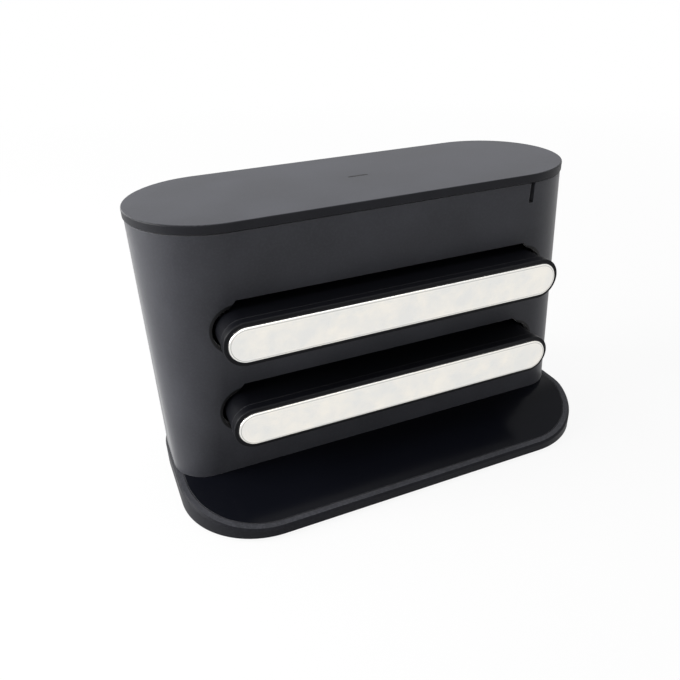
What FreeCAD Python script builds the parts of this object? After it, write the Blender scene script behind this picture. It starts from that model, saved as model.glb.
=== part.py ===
"""Charging dock for a robot vacuum: a slim tower with two sprung contact bars on a ramped base.

Frame: +Z up, the bars face -Y, +X is the width; the origin is on the floor under the base's centre.
Lengths in the sheet are millimetres. Pieces are drawn about the tower's axis and placed TOWER_Y
behind the origin.
"""
import FreeCAD, Part
import math
import os
import re

import Sketcher
from FreeCAD import Vector

# Alias, value, meaning. Lengths named ..._y are measured forward of the tower's axis.
SIZES = (
    ("lid_width", 150.0, "overall width of the lid"),
    ("lid_depth", 52.5, "depth of the lid, front to rear"),
    ("dock_height", 95.0, "top of the lid above the floor"),
    ("lid_edge", 2.6, "thickness of the lid plate"),
    ("lid_round", 0.4, "rounding of the lid's top edge"),
    ("lid_overhang", 0.4, "how far the lid stands out past the shell"),
    ("seam_gap", 0.45, "height of the shadow gap under the lid"),
    ("seam_depth", 0.9, "depth of the shadow gap"),
    ("skirt_depth", 4.0, "height of the lid's locating skirt"),
    ("skirt_wall", 1.4, "thickness of that skirt"),
    ("end_flat", 0.6, "straight length left at each end of the shell's rounded top"),
    ("wall", 2.4, "thickness of the shell"),
    ("fit_gap", 0.3, "gap round pieces that slip into each other"),
    ("foot_inset", 0.7, "how far the tower's ends draw in at the foot"),
    ("lean", 3.55, "how far the tower's front and rear draw in at the foot"),
    ("foot_corner", 11.7, "corner radius at the front of the tower's foot"),
    ("foot_rear_corner", 22.0, "corner radius at the rear of the tower's foot"),
    ("base_reach", 49.0, "front edge of the base, forward of the tower's axis"),
    ("front_corner", 27.0, "corner radius at the front of the base"),
    ("rear_corner", 22.6, "corner radius at the rear of the base"),
    ("rear_ledge", 0.3, "base behind the tower's foot"),
    ("floor_gap", 1.0, "underside of the tray above the floor"),
    ("tray_floor", 1.6, "thickness of the tray's floor"),
    ("front_edge", 4.1, "height of the ramp's front edge"),
    ("seat_height", 9.2, "height of the level seat that carries the tower"),
    ("ramp_margin", 0.2, "level strip in front of the tower's foot"),
    ("ramp_blend", 24.0, "radius that blends the ramp into the seat"),
    ("rim_width", 2.3, "width of the tray's rim"),
    ("rim_bevel", 0.6, "bevel of the rim's outer edge"),
    ("deck_gap", 0.15, "dark line between rim and deck"),
    ("rubber_length", 20.0, "length of a rubber foot"),
    ("rubber_width", 8.0, "width of a rubber foot"),
    ("rubber_sink", 0.6, "depth of the rubber foot's recess"),
    ("rubber_inset", 27.0, "rubber feet from the ends of the base"),
    ("rubber_edge", 10.0, "rubber feet from the front and rear edges"),
    ("bar_length", 112.0, "length of a contact strip"),
    ("bar_height", 11.2, "height of a contact strip"),
    ("bar_thick", 1.4, "thickness of a contact strip"),
    ("bar_proud", 0.6, "how far a strip stands out of its carrier"),
    ("bar_round", 0.4, "rounding of a strip's front edge"),
    ("bar_reach", 12.8, "front face of the strips ahead of the tower's foot"),
    ("upper_bar", 61.8, "height of the upper bar's centre"),
    ("lower_bar", 32.7, "height of the lower bar's centre"),
    ("travel", 5.0, "how far a bar pushes in"),
    ("carrier_rim", 1.4, "rim of the carrier round its strip"),
    ("carrier_round", 0.3, "rounding of the carrier's front edge"),
    ("carrier_cap", 3.0, "depth of the carrier's front cap"),
    ("carrier_step", 0.4, "step from the cap down to the carrier's skirt"),
    ("carrier_wall", 1.6, "thickness of the carrier's skirt"),
    ("carrier_face", 2.4, "thickness of the carrier's front"),
    ("tail_clear", 1.5, "gap left behind the skirt when a bar is pushed in"),
    ("slot_gap", 0.6, "gap round a carrier in its slot"),
    ("relief_rise", 2.0, "height of the relief over a slot"),
    ("relief_inset", 5.9, "ends of that relief's top from the ends of the strip"),
    ("relief_slope", 2.2, "run of the relief's sloping ends"),
    ("slit_width", 1.7, "width of the infra-red slit"),
    ("slit_length", 6.65, "length of the slit down from the shell's rim"),
    ("slit_inset", 24.4, "slit from the right end of the lid"),
    ("post_diameter", 5.0, "guide posts of a carrier"),
    ("post_inset", 14.4, "guide posts from the ends of the strip"),
    ("guide_gap", 0.4, "gap round a guide post"),
    ("boss_diameter", 9.2, "guide bosses of the frame"),
    ("boss_length", 3.5, "length of those bosses"),
    ("frame_set_back", 11.3, "front face of the contact frame behind the shell's inner foot"),
    ("frame_wall", 2.0, "thickness of the contact frame"),
    ("frame_margin", 16.0, "contact frame from the ends of the lid"),
    ("frame_headroom", 17.0, "top of the contact frame below the dock's top"),
    ("flange_gap", 1.1, "gap between the frame's foot and the shell"),
    ("flange_thick", 2.2, "thickness of the frame's foot"),
    ("rib_thick", 1.6, "thickness of stiffening ribs"),
    ("washer_diameter", 9.0, "washer under a carrier's retaining screw"),
    ("washer_thick", 0.8, "thickness of that washer"),
    ("spring_span", 60.0, "span of a leaf spring"),
    ("spring_thick", 0.4, "thickness of a leaf spring"),
    ("spring_width", 5.0, "width of a leaf spring"),
    ("spring_pad", 8.0, "width of the carrier's pad on the spring"),
    ("screw_shank", 2.9, "shank of a screw"),
    ("screw_head", 5.4, "head of a screw"),
    ("screw_head_height", 1.8, "height of a screw's head"),
    ("thread_gap", 0.05, "gap round a shank in its boss"),
    ("screw_post", 9.0, "posts of the tray round the screws"),
    ("screw_post_height", 4.0, "height of those posts above the tray's underside"),
    ("head_gap", 0.4, "gap round a sunk screw head"),
    ("head_sink", 0.3, "depth of a sunk head below the underside"),
    ("tower_screw_inset", 11.0, "tower screws from the ends of the lid"),
    ("tower_screw_edge", 12.5, "tower screws from the front and rear of the tower's foot"),
    ("tower_boss", 7.5, "bosses of the shell for those screws"),
    ("tower_boss_height", 13.0, "height of those bosses"),
    ("frame_screw_x", 27.0, "frame screws either side of the middle"),
    ("frame_screw_out", 4.5, "frame screws ahead of the frame's wall"),
    ("frame_boss_height", 9.0, "height of the frame's screw bosses"),
    ("board_clear", 1.9, "gap between a pushed-in bar's screws and the power board"),
    ("board_thick", 1.6, "thickness of the circuit boards"),
    ("board_margin", 17.0, "power board from the ends of the lid"),
    ("board_rise", 2.8, "lower edge of the power board above the seat"),
    ("board_headroom", 11.0, "upper edge of the power board below the dock's top"),
    ("board_screw_inset", 5.0, "board screws from the board's edges"),
    ("standoff_diameter", 6.0, "standoffs that carry the board"),
    ("core_width", 26.0, "width of the transformer's core"),
    ("core_height", 24.0, "height of the transformer's core"),
    ("core_clear", 5.0, "gap between the transformer's core and the shell's rear"),
    ("core_limb", 5.0, "limbs of the transformer's core"),
    ("winding_gap", 0.4, "gap between winding and core"),
    ("core_x", -14.0, "place of the transformer"),
    ("core_z", 34.0, "height of the transformer's centre"),
    ("bulk_diameter", 12.0, "diameter of the bulk capacitor"),
    ("bulk_clear", 1.0, "gap between the bulk capacitor and the shell's rear"),
    ("bulk_x", 12.0, "place of the bulk capacitor"),
    ("bulk_z", 38.0, "level of the bulk capacitor"),
    ("output_diameter", 8.0, "diameter of the output capacitor"),
    ("output_clear", 4.0, "gap between the output capacitor and the shell's rear"),
    ("output_inset", 18.0, "output capacitor from the board's left edge"),
    ("output_z", 40.0, "level of the output capacitor"),
    ("inlet_inset", 41.0, "mains inlet from the right end of the lid"),
    ("inlet_rise", 11.8, "centre of the mains inlet above the seat"),
    ("inlet_width", 19.6, "width of the inlet's body"),
    ("inlet_height", 11.4, "height of the inlet's body"),
    ("inlet_set_in", 0.1, "outer face of the inlet inside the tower's foot"),
    ("inlet_depth", 11.0, "depth of the inlet's socket"),
    ("inlet_lobe", 8.4, "diameter of each lobe of the socket"),
    ("inlet_waist", 6.6, "height of the socket between its lobes"),
    ("pin_pitch", 8.6, "distance between the inlet's pins"),
    ("pin_diameter", 2.4, "diameter of the inlet's pins"),
    ("pin_set_back", 1.6, "pin tips below the outer face"),
    ("guide_length", 7.0, "length of the light guide's dash in the lid"),
    ("guide_width", 1.1, "width of that dash"),
    ("guide_flange", 1.3, "thickness of the light guide's flange"),
    ("guide_flange_edge", 1.5, "width of that flange round the dash"),
    ("guide_y", 0.5, "place of the light guide, forward of the axis"),
    ("guide_drop", 4.5, "length of the light guide below the lid's underside"),
    ("led_width", 3.2, "width of the status light"),
    ("led_height", 1.8, "height of the status light"),
    ("led_depth", 3.6, "depth of the status light"),
    ("arm_width", 13.0, "arm of the frame that carries the infra-red board"),
    ("arm_margin", 1.2, "clear height between that arm and the lid"),
    ("emitter_diameter", 3.0, "diameter of the infra-red emitter"),
    ("emitter_length", 5.4, "length of the infra-red emitter"),
    ("hood_size", 6.0, "square hood round the emitter"),
    ("hood_face", 1.2, "thickness of the hood's front"),
    ("hood_gap", 3.25, "front of the hood behind the shell's inner face"),
)

TOWER_Y = "(base_reach - lid_depth / 2) / 2"
SHELL_TOP = "(dock_height - lid_edge - seam_gap)"
SHELL_WIDTH = "(lid_width - 2 * lid_overhang)"
SHELL_DEPTH = "(lid_depth - 2 * lid_overhang)"
SHELL_CORNER = f"(({SHELL_DEPTH} - end_flat) / 2)"
FOOT_WIDTH = "(lid_width - 2 * foot_inset)"
FOOT_DEPTH = "(lid_depth - 2 * lean)"
BASE_REAR = f"({FOOT_DEPTH} / 2 + rear_ledge)"
RAMP_FOOT_Y = f"({FOOT_DEPTH} / 2 + ramp_margin)"
BAR_FACE_Y = f"({FOOT_DEPTH} / 2 + bar_reach)"
CARRIER_FACE_Y = f"({BAR_FACE_Y} - bar_proud)"
CARRIER_LENGTH = "(bar_length + 2 * carrier_rim)"
CARRIER_HEIGHT = "(bar_height + 2 * carrier_rim)"
POST_X = "(bar_length / 2 - post_inset)"
FRAME_FRONT_Y = f"({FOOT_DEPTH} / 2 - wall - frame_set_back)"
FRAME_REAR_Y = f"({FRAME_FRONT_Y} - frame_wall)"
FLANGE_FRONT = f"-({FRAME_FRONT_Y} + frame_set_back - flange_gap)"
FRAME_SCREW_Y = f"-({FRAME_FRONT_Y} + frame_screw_out)"
FRAME_TOP = "(dock_height - frame_headroom)"
FRAME_WIDTH = "(lid_width - 2 * frame_margin)"
CARRIER_TAIL_Y = f"({FRAME_FRONT_Y} + boss_length + travel + tail_clear)"
BOARD_FRONT_Y = f"({FRAME_REAR_Y} - travel - screw_head_height - washer_thick - board_clear)"
BOARD_REAR_Y = f"({BOARD_FRONT_Y} - board_thick)"
BOARD_HALF = "(lid_width / 2 - board_margin)"
BOARD_BOTTOM = "(seat_height + board_rise)"
BOARD_TOP = "(dock_height - board_headroom)"
BOARD_SCREW_X = f"({BOARD_HALF} - board_screw_inset)"
REAR_ROOM = f"({FOOT_DEPTH} / 2 - wall + {BOARD_REAR_Y})"
CORE_DEPTH = f"({REAR_ROOM} - core_clear)"
TRAY_TOP = "(floor_gap + tray_floor)"
SLIT_X = "(lid_width / 2 - slit_inset)"
INLET_X = "(lid_width / 2 - inlet_inset)"
INLET_Z = "(seat_height + inlet_rise)"
INLET_REAR = f"({FOOT_DEPTH} / 2 - inlet_set_in)"
ARM_TOP = f"({SHELL_TOP} - arm_margin)"
EMITTER_Z = f"({ARM_TOP} - hood_size / 2)"
HOOD_FRONT_Y = f"({SHELL_DEPTH} / 2 - wall - hood_gap)"
FUNCTIONS = ("sqrt", "min", "max")
SIDES = (("left", -1), ("right", 1))

doc = FreeCAD.newDocument("charging_dock")
sheet = doc.addObject("Spreadsheet::Sheet", "sizes")
for row, (alias, size, meaning) in enumerate(SIZES, start=1):
    sheet.set(f"A{row}", meaning)
    sheet.set(f"B{row}", str(size))
    sheet.setAlias(f"B{row}", alias)
doc.recompute()


def bound(text):
    """An expression over the sheet's aliases, in the form that the document reads."""
    def in_sheet(word):
        return word[0] if word[0] in FUNCTIONS else "sizes." + word[0]

    return re.sub(r"\b[a-z]\w+", in_sheet, str(text))


def value(text):
    """The present value of such an expression."""
    return float(sheet.evalExpression(bound(text)))


def minus(text):
    return f"-({text})"


def plus(*terms):
    return " + ".join(f"({term})" for term in terms)


def set_place(item, x="0", y="0", z="0"):
    """Bind an object's place, given about the tower's axis."""
    item.setExpression("Placement.Base.x", bound(x))
    item.setExpression("Placement.Base.y", bound(plus(y, TOWER_Y)))
    item.setExpression("Placement.Base.z", bound(z))


def new_body(label):
    body = doc.addObject("PartDesign::Body", label)
    body.Label = label
    set_place(body)
    return body


def sketch(body, name, plane, offset="0"):
    """A sketch on one of the body's own origin planes, moved along that plane's normal."""
    drawing = body.newObject("Sketcher::SketchObject", f"{body.Name}_{name}")
    support = next(item for item in body.Origin.OriginFeatures if item.Role == plane)
    drawing.AttachmentSupport = (support, [""])
    drawing.MapMode = "FlatFace"
    drawing.setExpression("AttachmentOffset.Base.z", bound(offset))
    return drawing


def dimension(drawing, kind, places, size):
    index = drawing.addConstraint(Sketcher.Constraint(kind, *places, value(size)))
    drawing.setExpression(f"Constraints[{index}]", bound(size))


def locate(drawing, curve, point, x, y):
    """Hold one point of a curve at x, y from the sketch's origin."""
    dimension(drawing, "DistanceX", (-1, 1, curve, point), x)
    dimension(drawing, "DistanceY", (-1, 1, curve, point), y)


def polygon(drawing, corners):
    first = drawing.GeometryCount
    count = len(corners)
    points = [Vector(value(x), value(y), 0) for x, y in corners]
    for index in range(count):
        drawing.addGeometry(Part.LineSegment(points[index], points[(index + 1) % count]), False)
    for index in range(count):
        after = first + (index + 1) % count
        drawing.addConstraint(Sketcher.Constraint("Coincident", first + index, 2, after, 1))
    for index, (x, y) in enumerate(corners):
        locate(drawing, first + index, 1, x, y)


def rectangle(drawing, left, low, right, high):
    polygon(drawing, ((left, low), (right, low), (right, high), (left, high)))


def centred(drawing, width, height, x="0", y="0"):
    rectangle(
        drawing,
        f"{x} - ({width}) / 2",
        f"{y} - ({height}) / 2",
        f"{x} + ({width}) / 2",
        f"{y} + ({height}) / 2",
    )


def circle(drawing, diameter, x="0", y="0"):
    round_edge = Part.Circle(Vector(value(x), value(y), 0), Vector(0, 0, 1), value(diameter) / 2)
    curve = drawing.addGeometry(round_edge, False)
    dimension(drawing, "Diameter", (curve,), diameter)
    locate(drawing, curve, 3, x, y)


def arc(centre, radius, start, end):
    """A quarter or half arc, with its ends given in quarter turns."""
    quarter = 1.5707963267948966
    return Part.ArcOfCircle(Part.Circle(centre, Vector(0, 0, 1), radius), start * quarter, end * quarter)


def stadium(drawing, length, height, x="0", y="0"):
    """A slot shape with full round ends, lying along the sketch's x."""
    radius = value(height) / 2
    reach = value(length) / 2 - radius
    middle = Vector(value(x), value(y), 0)
    right = middle + Vector(reach, 0, 0)
    left = middle - Vector(reach, 0, 0)
    rise = Vector(0, radius, 0)
    low = drawing.addGeometry(Part.LineSegment(left - rise, right - rise), False)
    drawing.addGeometry(arc(right, radius, -1, 1), False)
    drawing.addGeometry(Part.LineSegment(right + rise, left + rise), False)
    drawing.addGeometry(arc(left, radius, 1, 3), False)
    for one, other in ((low, low + 1), (low + 1, low + 2), (low + 2, low + 3), (low + 3, low)):
        drawing.addConstraint(Sketcher.Constraint("Tangent", one, 2, other, 1))
    drawing.addConstraint(Sketcher.Constraint("Horizontal", low))
    drawing.addConstraint(Sketcher.Constraint("Equal", low + 1, low + 3))
    dimension(drawing, "Radius", (low + 1,), f"({height}) / 2")
    locate(drawing, low + 1, 3, f"{x} + ({length}) / 2 - ({height}) / 2", y)
    dimension(drawing, "DistanceX", (-1, 1, low + 3, 3), f"{x} - ({length}) / 2 + ({height}) / 2")


def rounded(drawing, half_width, front, rear, front_radius, rear_radius):
    """A rectangle with rounded corners, alike left and right; front and rear are distances from the axis."""
    half = value(half_width)
    near = value(front_radius)
    far = value(rear_radius)
    low = -value(front)
    high = value(rear)
    lines = (
        ((-half + near, low), (half - near, low)),
        ((half, low + near), (half, high - far)),
        ((half - far, high), (-half + far, high)),
        ((-half, high - far), (-half, low + near)),
    )
    arcs = (
        ((half - near, low + near), near, 3),
        ((half - far, high - far), far, 0),
        ((-half + far, high - far), far, 1),
        ((-half + near, low + near), near, 2),
    )
    first = drawing.GeometryCount
    for (start, end), (centre, radius, turn) in zip(lines, arcs):
        drawing.addGeometry(Part.LineSegment(Vector(*start, 0), Vector(*end, 0)), False)
        drawing.addGeometry(arc(Vector(*centre, 0), radius, turn, turn + 1), False)
    for index in range(8):
        drawing.addConstraint(Sketcher.Constraint("Tangent", first + index, 2, first + (index + 1) % 8, 1))
    for index, direction in enumerate(("Horizontal", "Vertical", "Horizontal", "Vertical")):
        drawing.addConstraint(Sketcher.Constraint(direction, first + 2 * index))
    for index, radius in ((1, front_radius), (3, rear_radius), (5, rear_radius), (7, front_radius)):
        dimension(drawing, "Radius", (first + index,), radius)
    dimension(drawing, "DistanceY", (-1, 1, first, 1), minus(front))
    dimension(drawing, "DistanceX", (-1, 1, first + 2, 1), half_width)
    dimension(drawing, "DistanceY", (-1, 1, first + 4, 1), rear)
    dimension(drawing, "DistanceX", (-1, 1, first + 6, 1), minus(half_width))


def extrude(body, kind, drawing, length, reverse=False, symmetric=False):
    feature = body.newObject(f"PartDesign::{kind}", f"{drawing.Name}_{kind.lower()}")
    feature.Profile = drawing
    feature.setExpression("Length", bound(length))
    feature.Reversed = reverse
    if symmetric:
        feature.SideType = "Symmetric"
    drawing.Visibility = False
    return feature


def pad(body, drawing, length, reverse=False, symmetric=False):
    return extrude(body, "Pad", drawing, length, reverse, symmetric)


def pocket(body, drawing, length, reverse=False, symmetric=False):
    """Cut away from the sketch's normal, and make sure that the cut took something off."""
    doc.recompute()
    before = body.Shape.Volume
    feature = extrude(body, "Pocket", drawing, length, reverse, symmetric)
    doc.recompute()
    if body.Shape.Volume >= before:
        raise RuntimeError(f"{feature.Name} cuts nothing")
    return feature


def loft(body, kind, low, high):
    feature = body.newObject(f"PartDesign::{kind}", f"{low.Name}_loft")
    feature.Profile = low
    feature.Sections = [high]
    feature.Ruled = True
    return feature


def dress(body, kind, name, size, wanted):
    """Round or bevel the edges of the body so far that the test picks out."""
    doc.recompute()
    base = body.Tip
    names = [f"Edge{index}" for index, edge in enumerate(base.Shape.Edges, start=1) if wanted(edge)]
    feature = body.newObject(f"PartDesign::{kind}", f"{body.Name}_{name}")
    feature.Base = (base, names)
    feature.setExpression("Radius" if kind == "Fillet" else "Size", bound(size))
    return feature


def level(height):
    """A test for edges that lie wholly at one height."""
    wanted = value(height)
    return lambda edge: abs(edge.BoundBox.ZMin - wanted) < 1e-4 and abs(edge.BoundBox.ZMax - wanted) < 1e-4


def facing(distance):
    """A test for edges that lie wholly in one plane across the depth, given forward of the axis."""
    wanted = -value(distance)
    return lambda edge: abs(edge.BoundBox.YMin - wanted) < 1e-4 and abs(edge.BoundBox.YMax - wanted) < 1e-4


def shell_section(body, name, height, width, depth, front_corner, rear_corner, inset="0"):
    drawing = sketch(body, name, "XY_Plane", height)
    half = f"({depth}) / 2 - ({inset})"
    front_radius = f"({front_corner}) - ({inset})"
    rear_radius = f"({rear_corner}) - ({inset})"
    rounded(drawing, f"({width}) / 2 - ({inset})", half, half, front_radius, rear_radius)
    return drawing


def tower_screw(sign, way):
    """The place of one tower screw: sign is left or right, way is front or rear."""
    return f"{sign} * (lid_width / 2 - tower_screw_inset)", f"{way} * ({FOOT_DEPTH} / 2 - tower_screw_edge)"


def make_tower_shell():
    """An open tube: a rounded-rectangle foot that turns into a round-ended top, with straight walls between."""
    body = new_body("tower_shell")
    foot = ("seat_height", FOOT_WIDTH, FOOT_DEPTH, "foot_corner", "foot_rear_corner")
    top = (SHELL_TOP, SHELL_WIDTH, SHELL_DEPTH, SHELL_CORNER, SHELL_CORNER)
    loft(body, "AdditiveLoft", shell_section(body, "foot", *foot), shell_section(body, "top", *top))
    inner_foot = shell_section(body, "inner_foot", *foot, inset="wall")
    loft(body, "SubtractiveLoft", inner_foot, shell_section(body, "inner_top", *top, inset="wall"))
    for side, sign in SIDES:
        front, rear = (tower_screw(sign, way) for way in (-1, 1))
        for end, (x, y) in (("front", front), ("rear", rear)):
            boss = sketch(body, f"boss_{end}_{side}", "XY_Plane", "seat_height")
            circle(boss, "tower_boss", x, y)
            pad(body, boss, "tower_boss_height")
        rib = sketch(body, f"rib_{side}", "XY_Plane", "seat_height")
        near, far = sorted((front[0], f"{sign} * ({FOOT_WIDTH} / 2 - wall / 2)"), key=value)
        rectangle(rib, near, f"{front[1]} - rib_thick / 2", far, f"{front[1]} + rib_thick / 2")
        pad(body, rib, "tower_boss_height")
        web = sketch(body, f"web_{side}", "XY_Plane", "seat_height")
        rectangle(web, f"{front[0]} - rib_thick / 2", front[1], f"{rear[0]} + rib_thick / 2", rear[1])
        pad(body, web, "tower_boss_height")
        for end, (x, y) in (("front", front), ("rear", rear)):
            hole = sketch(body, f"hole_{end}_{side}", "XY_Plane", "seat_height")
            circle(hole, "screw_shank + 2 * thread_gap", x, y)
            pocket(body, hole, "tower_boss_height - rib_thick", reverse=True)
    for bar in ("upper_bar", "lower_bar"):
        height = f"({CARRIER_HEIGHT}) / 2 + slot_gap"
        slot = sketch(body, f"{bar}_slot", "XZ_Plane", "lid_depth")
        stadium(slot, f"{CARRIER_LENGTH} + 2 * slot_gap", f"{CARRIER_HEIGHT} + 2 * slot_gap", y=bar)
        pocket(body, slot, "lid_depth")
        relief = sketch(body, f"{bar}_relief", "XZ_Plane", "lid_depth")
        crown = "bar_length / 2 - relief_inset"
        shoulder = "bar_length / 2 - relief_inset + relief_slope"
        polygon(relief, (
            (minus(shoulder), bar),
            (shoulder, bar),
            (shoulder, f"{bar} + {height} + relief_rise - relief_slope"),
            (crown, f"{bar} + {height} + relief_rise"),
            (minus(crown), f"{bar} + {height} + relief_rise"),
            (minus(shoulder), f"{bar} + {height} + relief_rise - relief_slope"),
        ))
        pocket(body, relief, "lid_depth")
    slit = sketch(body, "slit", "XZ_Plane", "lid_depth")
    slit_foot = f"{SHELL_TOP} - slit_length"
    rectangle(slit, f"{SLIT_X} - slit_width / 2", slit_foot, f"{SLIT_X} + slit_width / 2", "dock_height")
    pocket(body, slit, "lid_depth")
    window = sketch(body, "inlet_window", "XZ_Plane", "-lid_depth")
    stadium(window, "inlet_width + 2 * fit_gap", "inlet_height + 2 * fit_gap", INLET_X, INLET_Z)
    pocket(body, window, "lid_depth", reverse=True)


def make_top_lid():
    """A round-ended plate on the shell's rim, with a skirt inside the wall and a slot for the light."""
    body = new_body("top_lid")
    plate = sketch(body, "plate", "XY_Plane", "dock_height")
    stadium(plate, "lid_width", "lid_depth")
    pad(body, plate, "lid_edge", reverse=True)
    dress(body, "Fillet", "top_round", "lid_round", level("dock_height"))
    step = sketch(body, "step", "XY_Plane", SHELL_TOP)
    stadium(step, f"{SHELL_WIDTH} - 2 * seam_depth", f"{SHELL_DEPTH} - 2 * seam_depth")
    pad(body, step, "seam_gap")
    inset = "wall + fit_gap"
    top = (SHELL_TOP, SHELL_WIDTH, SHELL_DEPTH, SHELL_CORNER, SHELL_CORNER)
    skirt = shell_section(body, "skirt", *top, inset=inset)
    half = f"({SHELL_DEPTH}) / 2 - {inset} - skirt_wall"
    corner = f"{SHELL_CORNER} - ({inset}) - skirt_wall"
    rounded(skirt, f"({SHELL_WIDTH}) / 2 - {inset} - skirt_wall", half, half, corner, corner)
    pad(body, skirt, "skirt_depth", reverse=True)
    clear = sketch(body, "hood_clearance", "XY_Plane", SHELL_TOP)
    half_hood = "hood_size / 2 + 2 * fit_gap"
    left, right = f"{SLIT_X} - ({half_hood})", f"{SLIT_X} + {half_hood}"
    rectangle(clear, left, "-lid_depth / 2", right, minus(FRAME_FRONT_Y))
    pocket(body, clear, "skirt_depth")
    dash = sketch(body, "dash", "XY_Plane", "dock_height")
    stadium(dash, "guide_length + 2 * thread_gap", "guide_width + 2 * thread_gap", y="-guide_y")
    pocket(body, dash, "lid_edge + seam_gap")


def make_light_guide():
    """The clear blade in the lid's slot, hung from a flange under the lid."""
    body = new_body("light_guide")
    blade = sketch(body, "blade", "XY_Plane", "dock_height")
    stadium(blade, "guide_length", "guide_width", y="-guide_y")
    pad(body, blade, "lid_edge + seam_gap + guide_drop", reverse=True)
    flange = sketch(body, "flange", "XY_Plane", SHELL_TOP)
    edge = "2 * guide_flange_edge"
    stadium(flange, f"guide_length + {edge}", f"guide_width + {edge}", y="-guide_y")
    pad(body, flange, "guide_flange", reverse=True)


def cut_ramp(body):
    """Cut the sloping front of the base: a straight ramp that an arc blends into the level seat."""
    ramp = sketch(body, "ramp", "YZ_Plane")
    front = Vector(-value("base_reach"), value("front_edge"), 0)
    foot = Vector(-value(RAMP_FOOT_Y), value("seat_height"), 0)
    radius = value("ramp_blend")
    centre = foot - Vector(0, radius, 0)
    away = front - centre
    turn = math.atan2(away.y, away.x) - math.acos(radius / away.Length)
    touch = centre + Vector(radius * math.cos(turn), radius * math.sin(turn), 0)
    high = 2 * value("seat_height")
    out = -2 * value("base_reach")
    blend = Part.ArcOfCircle(Part.Circle(centre, Vector(0, 0, 1), radius), math.pi / 2, turn)
    ramp.addGeometry(Part.LineSegment(front, touch), False)
    ramp.addGeometry(blend, False)
    corners = (foot, Vector(foot.x, high, 0), Vector(out, high, 0), Vector(out, front.y, 0), front)
    for start, end in zip(corners, corners[1:]):
        ramp.addGeometry(Part.LineSegment(start, end), False)
    ramp.addConstraint(Sketcher.Constraint("Tangent", 0, 2, 1, 2))
    ramp.addConstraint(Sketcher.Constraint("Coincident", 1, 1, 2, 1))
    for index in (2, 3, 4):
        ramp.addConstraint(Sketcher.Constraint("Coincident", index, 2, index + 1, 1))
    ramp.addConstraint(Sketcher.Constraint("Coincident", 5, 2, 0, 1))
    dimension(ramp, "Radius", (1,), "ramp_blend")
    locate(ramp, 1, 3, minus(RAMP_FOOT_Y), "seat_height - ramp_blend")
    dimension(ramp, "DistanceX", (-1, 1, 1, 1), minus(RAMP_FOOT_Y))
    locate(ramp, 0, 1, "-base_reach", "front_edge")
    locate(ramp, 3, 1, minus(RAMP_FOOT_Y), "2 * seat_height")
    locate(ramp, 4, 1, "-2 * base_reach", "2 * seat_height")
    locate(ramp, 5, 1, "-2 * base_reach", "front_edge")
    pocket(body, ramp, "2 * lid_width", symmetric=True)


def base_outline(drawing, inset="0"):
    rounded(
        drawing,
        f"lid_width / 2 - ({inset})",
        f"base_reach - ({inset})",
        f"{BASE_REAR} - ({inset})",
        f"front_corner - ({inset})",
        f"rear_corner - ({inset})",
    )


def screw_places():
    """The screws that come up through the base: four into the tower, two into the contact frame."""
    tower = [tower_screw(sign, way) for _, sign in SIDES for way in (-1, 1)]
    frame = [(f"{sign} * frame_screw_x", FRAME_SCREW_Y) for _, sign in SIDES]
    return tower, frame


def foot_places():
    for side, sign in SIDES:
        yield f"foot_front_{side}", f"{sign} * (lid_width / 2 - rubber_inset)", "rubber_edge - base_reach"
        yield f"foot_rear_{side}", f"{sign} * (lid_width / 2 - rubber_inset)", f"{BASE_REAR} - rubber_edge"


def across(edge):
    """True for a line that runs over the base from side to side, between the ramp and the seat."""
    straight = edge.BoundBox.YLength < 1e-4
    return straight and edge.BoundBox.ZMin > value("front_edge") + 1e-3 and edge.BoundBox.YMin < 0


def make_base_tray():
    """The satin tray: a floor and a bevelled rim that follows the ramp, with posts for the screws."""
    body = new_body("base_tray")
    outline = sketch(body, "outline", "XY_Plane", "floor_gap")
    base_outline(outline)
    pad(body, outline, "seat_height - floor_gap")
    cut_ramp(body)
    crest = value("front_edge") - 1e-3

    def on_rim(edge):
        return edge.BoundBox.ZMin > crest and not across(edge)

    dress(body, "Chamfer", "rim_bevel", "rim_bevel", on_rim)
    recess = sketch(body, "recess", "XY_Plane", "2 * seat_height")
    base_outline(recess, "rim_width")
    pocket(body, recess, f"2 * seat_height - ({TRAY_TOP})")
    tower, frame = screw_places()
    for index, (x, y) in enumerate(tower + frame):
        post = sketch(body, f"post_{index}", "XY_Plane", "floor_gap")
        circle(post, "screw_post", x, y)
        pad(body, post, "screw_post_height")
        sink = sketch(body, f"sink_{index}", "XY_Plane", "floor_gap")
        circle(sink, "screw_head + 2 * head_gap", x, y)
        pocket(body, sink, "screw_head_height + head_sink", reverse=True)
        bore = sketch(body, f"bore_{index}", "XY_Plane", "floor_gap")
        circle(bore, "screw_shank + 2 * fit_gap", x, y)
        pocket(body, bore, "screw_post_height", reverse=True)
    for name, x, y in foot_places():
        seat = sketch(body, f"{name}_seat", "XY_Plane", "floor_gap")
        stadium(seat, "rubber_length + 2 * thread_gap", "rubber_width + 2 * thread_gap", x, y)
        pocket(body, seat, "rubber_sink", reverse=True)


def make_base_deck():
    """The gloss deck: lies in the tray inside its rim, follows the ramp and carries the tower."""
    body = new_body("base_deck")
    outline = sketch(body, "outline", "XY_Plane", TRAY_TOP)
    base_outline(outline, "rim_width + deck_gap")
    pad(body, outline, f"seat_height - ({TRAY_TOP})")
    cut_ramp(body)
    tower, frame = screw_places()
    for index, (x, y) in enumerate(tower + frame):
        clear = sketch(body, f"clear_{index}", "XY_Plane", TRAY_TOP)
        circle(clear, "screw_post + 2 * fit_gap", x, y)
        pocket(body, clear, "screw_post_height - tray_floor", reverse=True)
        bore = sketch(body, f"bore_{index}", "XY_Plane", TRAY_TOP)
        circle(bore, "screw_shank + 2 * fit_gap", x, y)
        pocket(body, bore, "seat_height", reverse=True)


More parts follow.
